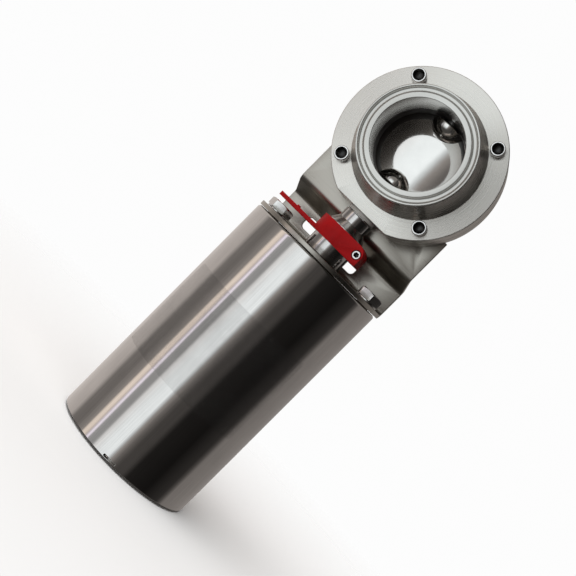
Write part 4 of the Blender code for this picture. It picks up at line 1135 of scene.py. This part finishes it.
def make_indicator():
    low = RING_LOW.z
    high = RING_HIGH.z
    ring_r = -RING_LOW.y
    lug_x = RING_HIGH.x
    lug_left = 0.7
    lug_back = 6.8
    lug_corner = 6.3
    root_half = 7.7
    tip_half = 2.5
    pointer_high = low + 2.9
    nub_r = 1.3
    nub_x = -34
    bore = NECK_R + CLEARANCE
    ring = mesh_object("position_indicator_finished", rod(ring_r, low, high, sides=FINE))
    lug_outline = [
        (lug_left, low, 0),
        (lug_x, low, 0),
        (lug_x, high, lug_corner),
        (lug_left, high, 0),
    ]
    upright = turned_about(FRONT, (0, 0, 0))
    lug = prism(rounded(lug_outline, 12), -lug_back, ring_r - 0.2, upright)
    taper_x = RING_LOW.x + 4.6
    pointer = prism(
        rounded(
            [
                (-bore + 2, -root_half, 0),
                (taper_x, -tip_half, 2.0),
                (RING_LOW.x, 0, 0.8),
                (taper_x, tip_half, 2.0),
                (-bore + 2, root_half, 0),
            ],
            4,
        ),
        low,
        pointer_high,
    )
    nub = rod(nub_r, low + 1, pointer_high + 1, Matrix.Translation((nub_x, 0, 0)), 32)
    combine(ring, [lug, pointer, nub], "UNION")
    screw_low, screw_high = box_mm("indicator_screw")
    screw_x = (screw_low.x + screw_high.x) / 2
    screw_z = (screw_low.z + screw_high.z) / 2
    across = turned_about(FRONT, (screw_x, 0, screw_z))
    split_low_y = -2.2
    split_high_y = -0.9
    clamp_r = (screw_high.x - screw_low.x) / 2 + CLEARANCE
    cuts = [
        rod(bore, low - 3, high + 3, sides=FINE),
        block((5, split_low_y, low - 2), (lug_x + 5, split_high_y, high + 2)),
        rod(clamp_r, -5.0, 25, across, 48),
    ]
    combine(ring, cuts)
    heal(ring, 20 * WELD)
    soften(ring, 0.2, 40, 3)
    dress(ring, "position_indicator", sharp=40)

    screw_r = (screw_high.x - screw_low.x) / 2
    face = -screw_low.y
    tail = -screw_high.y
    outline = rounded(
        [(0, face, 0), (screw_r, face, 0.6), (screw_r, tail, 0.4), (0, tail, 0)], 4, closed=False
    )
    screw = mesh_object("indicator_screw_finished", lathe(outline, SMALL, across))
    socket = lathe(
        [(0, face + 1), (2.1, face + 1), (1.75, face - 0.3), (1.75, face - 3.2), (0, face - 4.0)],
        6,
        across,
    )
    combine(screw, [socket])
    soften(screw, 0.1, 50)
    dress(screw, "indicator_screw")
    # Painted shade on the walls of the socket.
    paint_socket_shade(screw, (screw_x, screw_z), 2.15, face - 0.1)


def slot_span(radius, height):
    """Lowest and highest angle of the helical slot at one height, in the shaft at rest."""
    low = None
    high = None
    samples = 80
    for i in range(samples + 1):
        part = i / samples
        lift = height - (PIN_Z + STROKE * part)
        if abs(lift) > SLOT_HALF_WIDTH:
            continue
        half = math.asin(math.sqrt(SLOT_HALF_WIDTH**2 - lift**2) / radius)
        angle = -part * math.pi / 2
        low = angle - half if low is None else min(low, angle - half)
        high = angle + half if high is None else max(high, angle + half)
    return low, high


def helical_slot(start):
    """A body lofted through level sections of one slot, to cut from the shaft's tube."""
    levels = 32
    margin = 0.02
    inside = 6.5
    outside = 19.0
    bm = bmesh.new()
    rings = []
    for i in range(levels + 1):
        reach = -math.cos(math.pi * i / levels)
        height = PIN_Z + STROKE / 2 + reach * (STROKE / 2 + SLOT_HALF_WIDTH - margin)
        ring = []
        for radius, order in ((inside, (0, 1)), (outside, (1, 0))):
            span = slot_span(radius, height)
            for side in order:
                angle = start + span[side]
                corner = (radius * math.cos(angle), radius * math.sin(angle), height)
                ring.append(bm.verts.new(corner))
        rings.append(ring)
    for below, above in zip(rings, rings[1:]):
        for i in range(4):
            j = (i + 1) % 4
            bm.faces.new((below[i], below[j], above[j], above[i]))
    bm.faces.new(rings[0])
    bm.faces.new(rings[-1])
    bmesh.ops.recalc_face_normals(bm, faces=bm.faces)
    return bm


def make_output_shaft():
    low = SHAFT_LOW.z
    outline = rounded(
        [
            (0, SHAFT_TOP_Z, 0),
            (COLLAR_R, SHAFT_TOP_Z, 0.7),
            (COLLAR_R, COLLAR_Z, 1.5),
            (NECK_R, NECK_TOP_Z, 1.2),
            (NECK_R, CLIP_GROOVE_HIGH_Z, 0.2),
            (CLIP_GROOVE_R, CLIP_GROOVE_HIGH_Z, 0),
            (CLIP_GROOVE_R, CLIP_GROOVE_LOW_Z, 0),
            (NECK_R, CLIP_GROOVE_LOW_Z, 0.2),
            (NECK_R, SHOULDER_HIGH_Z, 0.3),
            (SHAFT_HIGH.x, SHOULDER_HIGH_Z, 0.4),
            (SHAFT_HIGH.x, SHOULDER_LOW_Z, 0.4),
            (SHAFT_R, SHOULDER_LOW_Z, 0.4),
            (SHAFT_R, low, 0.5),
            (SHAFT_BORE_R, low, 0.5),
            (SHAFT_BORE_R, SHAFT_BORE_TOP_Z, 0),
            (0, SHAFT_BORE_TOP_Z + 4, 0),
        ],
        4,
        closed=False,
    )
    shaft = mesh_object("output_shaft_finished", lathe(outline, SMALL))
    half = STEM_SQUARE / 2 + CLEARANCE
    socket_low = SHAFT_TOP_Z - SQUARE_LENGTH - 1
    socket = block((-half, -half, socket_low), (half, half, SHAFT_TOP_Z + 2), SQUARE_CORNER)
    combine(shaft, [socket, helical_slot(0), helical_slot(math.pi)])
    dress(shaft, "output_shaft")


def make_shaft_rings():
    """The lip seal and the circlip that show around the shaft in the foot's hole."""
    seal_low, seal_high = box_mm("shaft_seal")
    bore = NECK_R + CLEARANCE
    seal = lathe(
        rounded(
            [
                (bore, seal_high.z, 0.3),
                (seal_high.x, seal_high.z, 0.4),
                (seal_high.x, seal_low.z, 0.2),
                (BUSH_R, seal_low.z, 0),
                (BUSH_R, seal_low.z + 1.6, 0),
                (bore, seal_low.z + 1.6, 0.3),
            ]
        ),
        SMALL,
    )
    dress(mesh_object("shaft_seal_finished", seal), "shaft_seal")
    clip_low, clip_high = box_mm("shaft_circlip")
    outline = rounded(
        [
            (CLIP_GROOVE_R + 0.2, clip_high.z, 0.15),
            (CLIP_R, clip_high.z, 0.15),
            (CLIP_R, clip_low.z, 0.15),
            (CLIP_GROOVE_R + 0.2, clip_low.z, 0.15),
        ],
        3,
    )
    clip = mesh_object("shaft_circlip_finished", lathe(outline, SMALL))
    gap_half = 4
    gap_low = (-gap_half, CLIP_R - 6.8, clip_low.z - 5)
    gap_high = (gap_half, CLIP_R + 5, clip_high.z + 5)
    combine(clip, [block(gap_low, gap_high)])
    dress(clip, "shaft_circlip")


# ---------------------------------------------------------------- actuator housing


def make_shell():
    """Drawn tube with rolled rims, two wire slots and the holes for the fittings."""
    outline = [
        (SHELL_BORE_R, SHELL_TOP_Z, 0.15),
        (SHELL_R, SHELL_TOP_Z, RIM),
        (SHELL_R, SHELL_BOTTOM_Z, END_RIM),
        (SHELL_BORE_R, SHELL_BOTTOM_Z, 0.15),
    ]
    for wire_z in (END_WIRE_Z, BASE_WIRE_Z):
        outline += [
            (SHELL_BORE_R, wire_z - WIRE_GROOVE_HALF, 0),
            (WIRE_GROOVE_OUT_R, wire_z - WIRE_GROOVE_HALF, 0),
            (WIRE_GROOVE_OUT_R, wire_z + WIRE_GROOVE_HALF, 0),
            (SHELL_BORE_R, wire_z + WIRE_GROOVE_HALF, 0),
        ]
    shell = mesh_object("cylinder_shell_finished", lathe(rounded(outline, 10), 256))
    inside = SHELL_R - 4
    outside = SHELL_R + 4
    end_low = END_WIRE_Z - WIRE_SLOT_HALF
    end_high = END_WIRE_Z + WIRE_SLOT_HALF
    base_low = BASE_WIRE_Z - WIRE_SLOT_HALF
    base_high = BASE_WIRE_Z + WIRE_SLOT_HALF
    corner = 0.6
    cuts = [
        block((SLOT_NEAR_X, -outside, end_low), (SLOT_FAR_X, -inside, end_high), corner, "Y"),
        block((-SLOT_FAR_X, inside, base_low), (-SLOT_NEAR_X, outside, base_high), corner, "Y"),
        rod(INLET_HOLE_R, 40, 60, turned_about(REAR, (0, 0, INLET_Z)), 64),
        rod(BREATHER_HOLE_R, 40, 60, turned_about(REAR, (0, 0, BREATHER_Z)), 48),
    ]
    combine(shell, cuts)
    dress(shell, "cylinder_shell")


def make_label_film():
    """Blank clear film around the front of the shell."""
    low, high = box_mm("label_film")
    inner = SHELL_R + 0.1
    outer = SHELL_R + 0.3
    reach = math.asin(high.x / outer)
    steps = 120
    corner = 2.0
    bm = bmesh.new()
    rows = []
    for i in range(steps + 1):
        angle = -reach + 2 * reach * i / steps
        from_end = (reach - abs(angle)) * outer
        inset = corner - math.sqrt(max(corner**2 - max(corner - from_end, 0) ** 2, 0))
        row = []
        for radius, height in (
            (inner, low.z + inset),
            (outer, low.z + inset),
            (outer, high.z - inset),
            (inner, high.z - inset),
        ):
            row.append(bm.verts.new((radius * math.sin(angle), -radius * math.cos(angle), height)))
        rows.append(row)
    for before, after in zip(rows, rows[1:]):
        for i in range(4):
            j = (i + 1) % 4
            bm.faces.new((before[i], before[j], after[j], after[i]))
    bm.faces.new(rows[0])
    bm.faces.new(rows[-1])
    bmesh.ops.recalc_face_normals(bm, faces=bm.faces)
    dress(mesh_object("label_film_finished", bm), "label_film")


def side_groove(middle, floor_r, half, edge):
    """Corners of a groove in the side of the cap or the cover, downwards."""
    return [
        (CAP_R, middle + half, edge),
        (floor_r, middle + half, 0),
        (floor_r, middle - half, 0),
        (CAP_R, middle - half, edge),
    ]


def make_end_cap():
    """Closing disc whose outer face slopes away at its edge."""
    top = CAP_HIGH.z
    corners = [(0, top, 0), (CAP_R, top, 0.8)]
    corners += side_groove(END_ORING_Z, ORING_GROOVE_R, ORING_GROOVE_HALF, 0.1)
    corners += side_groove(END_WIRE_Z, WIRE_GROOVE_IN_R, WIRE_GROOVE_HALF, 0)
    corners += [(CAP_R, CAP_EDGE_Z, 0.3), (CAP_FACE_R, 0, 0.6), (0, 0, 0)]
    outline = rounded(corners, 4, closed=False)
    cap = mesh_object("end_cap_finished", lathe(outline, FINE))
    port = rod(INLET_PORT_R, 30, 60, turned_about(REAR, (0, 0, INLET_Z)), 64)
    passage_place = Matrix.Translation((0, INLET_PASSAGE_Y, 0))
    passage = rod(INLET_PASSAGE_R, INLET_Z, top + 3, passage_place, 32)
    combine(cap, [port, passage])
    dress(cap, "end_cap", material=TURNED_STEEL)


def make_base_cover():
    top = COVER_HIGH.z
    low = COVER_LOW.z
    sleeve_hole_r = SLEEVE_R + CLEARANCE
    seal_hole_r = SEAL_R + CLEARANCE
    seal_seat_z = box_mm("shaft_seal")[0].z - CLEARANCE
    corners = [(seal_hole_r, top, 0.3), (CAP_R, top, 0.8)]
    corners += side_groove(BASE_WIRE_Z, WIRE_GROOVE_IN_R, WIRE_GROOVE_HALF, 0)
    corners += side_groove(BASE_ORING_Z, ORING_GROOVE_R, ORING_GROOVE_HALF, 0.1)
    corners += [
        (CAP_R, low, 0.3),
        (sleeve_hole_r, low, 0.2),
        (sleeve_hole_r, COVER_STEP_Z, 0),
        (COVER_BORE_R, COVER_STEP_Z, 0.2),
        (COVER_BORE_R, seal_seat_z, 0),
        (seal_hole_r, seal_seat_z, 0),
    ]
    cover = mesh_object("base_cover_finished", lathe(rounded(corners, 4), FINE))
    bolt_end = box_mm("bracket_bolt_1")[0].z
    cuts = []
    for x in (-BOLT_X, BOLT_X):
        bolt_place = Matrix.Translation((x, 0, 0))
        cuts.append(rod(BOLT_R + CLEARANCE, bolt_end - CLEARANCE, top + 10, bolt_place, 48))
    vent_place = turned_about(REAR, (0, 0, BREATHER_Z))
    cuts.append(rod(VENT_PORT_R, VENT_PASSAGE_Y - 2, 60, vent_place, 32))
    passage_place = Matrix.Translation((0, VENT_PASSAGE_Y, 0))
    cuts.append(rod(VENT_PASSAGE_R, low - 5, BREATHER_Z, passage_place, 32))
    combine(cover, cuts)
    soften(cover, 0.2, 50)
    dress(cover, "base_cover", material=TURNED_STEEL)


def tube(path, radius, sides=16):
    """A round wire along a path of points, closed at both ends."""
    bm = bmesh.new()
    rings = []
    for i, point in enumerate(path):
        before = path[max(i - 1, 0)]
        after = path[min(i + 1, len(path) - 1)]
        along = (after - before).normalized()
        across = along.cross(Vector((0, 0, 1))).normalized()
        up = across.cross(along)
        ring = [bm.verts.new(point + across * x + up * y) for x, y in polygon(radius, sides)]
        rings.append(ring)
    for before, after in zip(rings, rings[1:]):
        for i in range(sides):
            j = (i + 1) % sides
            bm.faces.new((before[i], before[j], after[j], after[i]))
    bm.faces.new(rings[0])
    bm.faces.new(rings[-1])
    bmesh.ops.recalc_face_normals(bm, faces=bm.faces)
    return bm


def make_wire(node, height, gap_angle):
    """Round wire in its groove, with its last end turned out into the slot."""
    low, high = box_mm(node)
    steps = 180
    start = gap_angle + 3
    sweep = 348
    places = [(start + sweep * i / steps, WIRE_RING_R) for i in range(steps + 1)]
    places.append((start + sweep + 3.3, SHELL_R - 1.0))
    path = []
    for degrees, radius in places:
        angle = math.radians(degrees)
        path.append(Vector((radius * math.cos(angle), radius * math.sin(angle), height)))
    wire = mesh_object(node + "_finished", tube(path, (high.z - low.z) / 2, 12))
    dress(wire, node)


def make_spring(node, wire_r, turns, hand):
    """Return spring with closed ends, as long as its CAD node's box."""
    low, high = box_mm(node)
    radius = high.x - wire_r
    first = low.z + wire_r
    last = high.z - wire_r
    end_rise = 2.3 * wire_r
    middle_rise = (last - first - 2 * end_rise) / (turns - 2)
    steps = int(turns * 64)
    path = []
    for i in range(steps + 1):
        turn = turns * i / steps
        if turn < 1:
            height = first + end_rise * turn
        elif turn < turns - 1:
            height = first + end_rise + middle_rise * (turn - 1)
        else:
            height = last - end_rise * (turns - turn)
        angle = hand * 2 * math.pi * turn
        path.append(Vector((radius * math.cos(angle), radius * math.sin(angle), height)))
    spring = dress(mesh_object(node + "_finished", tube(path, wire_r)), node)
    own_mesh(spring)


def make_fittings():
    """Push-in air inlet with its release collar, and the breather."""
    low, high = box_mm("air_inlet_fitting")
    place = turned_about(REAR, (0, 0, INLET_Z))
    outline = rounded(
        [
            (5.6, high.y, 0.3),
            (7.0, high.y, 0.6),
            (7.0, 60.0, 0.3),
            (9.4, 59.6, 0.4),
            (9.4, 53.1, 0.3),
            (4.8, 53.1, 0),
            (4.8, low.y, 0.3),
            (2.5, low.y, 0),
            (2.5, 56.0, 0),
            (4.2, 56.0, 0),
            (4.2, 62.0, 0),
            (5.6, 62.0, 0),
        ],
        4,
    )
    fitting = mesh_object("air_inlet_fitting_finished", lathe(outline, SMALL, place))
    hexagon = prism(polygon(8.08, 6, 30), 50, 59.8, place)
    beyond = rod(7.5, 59.0, 80, place)
    thread = rod(6.0, 20, 54, place)
    envelope = mesh_object("fitting_envelope", hexagon)
    combine(envelope, [beyond, thread], "UNION")
    modifier = fitting.modifiers.new("hexagon", "BOOLEAN")
    modifier.operation = "INTERSECT"
    modifier.object = envelope
    settle(fitting)
    bpy.data.objects.remove(envelope)
    soften(fitting, 0.25, 40)
    dress(fitting, "air_inlet_fitting")

    collar_low, collar_high = box_mm("release_collar")
    collar = lathe(
        rounded(
            [
                (4.2, collar_high.y, 0.4),
                (6.2, collar_high.y, 0.5),
                (6.2, 69.3, 0.3),
                (5.2, 69.3, 0.2),
                (5.2, collar_low.y, 0.2),
                (4.2, collar_low.y, 0.2),
            ]
        ),
        SMALL,
        place,
    )
    dress(mesh_object("release_collar_finished", collar), "release_collar")

    vent_place = turned_about(REAR, (0, 0, BREATHER_Z))
    vent = mesh_object("breather_finished", prism(polygon(4.6, 6, 30), 52.9, 56.5, vent_place))
    plug = lathe(
        rounded(
            [
                (0, 59.5, 0),
                (3.4, 59.5, 1.4),
                (3.4, 54, 0),
                (2.3, 54, 0),
                (2.3, 42, 0.4),
                (0, 42, 0),
            ],
            6,
            closed=False,
        ),
        64,
        vent_place,
    )
    combine(vent, [plug], "UNION")
    soften(vent, 0.25, 40)
    dress(vent, "breather")


def dress_cad_nodes():
    """Finishes the CAD pieces that are kept as they are, all of them inside."""
    for name, obj in frame["nodes"].items():
        for slot in obj.material_slots:
            slot.material = MATERIALS[SLOT_OF[name]]


make_camera()
make_world()
make_lights()
make_floor()
dress_cad_nodes()
make_bodies()
make_seat()
make_disc()
make_body_fasteners()
make_stem_bush()
make_bracket()
make_bracket_fasteners()
make_indicator()
make_output_shaft()
make_shaft_rings()
make_shell()
make_label_film()
make_end_cap()
make_base_cover()
make_wire("end_retaining_wire", END_WIRE_Z, -80)
make_wire("base_retaining_wire", BASE_WIRE_Z, 100)
make_fittings()
make_spring("return_spring_outer", 3.0, 6.5, 1)
make_spring("return_spring_inner", 2.0, 8.5, -1)
bpy.context.scene.view_settings.view_transform = "Standard"
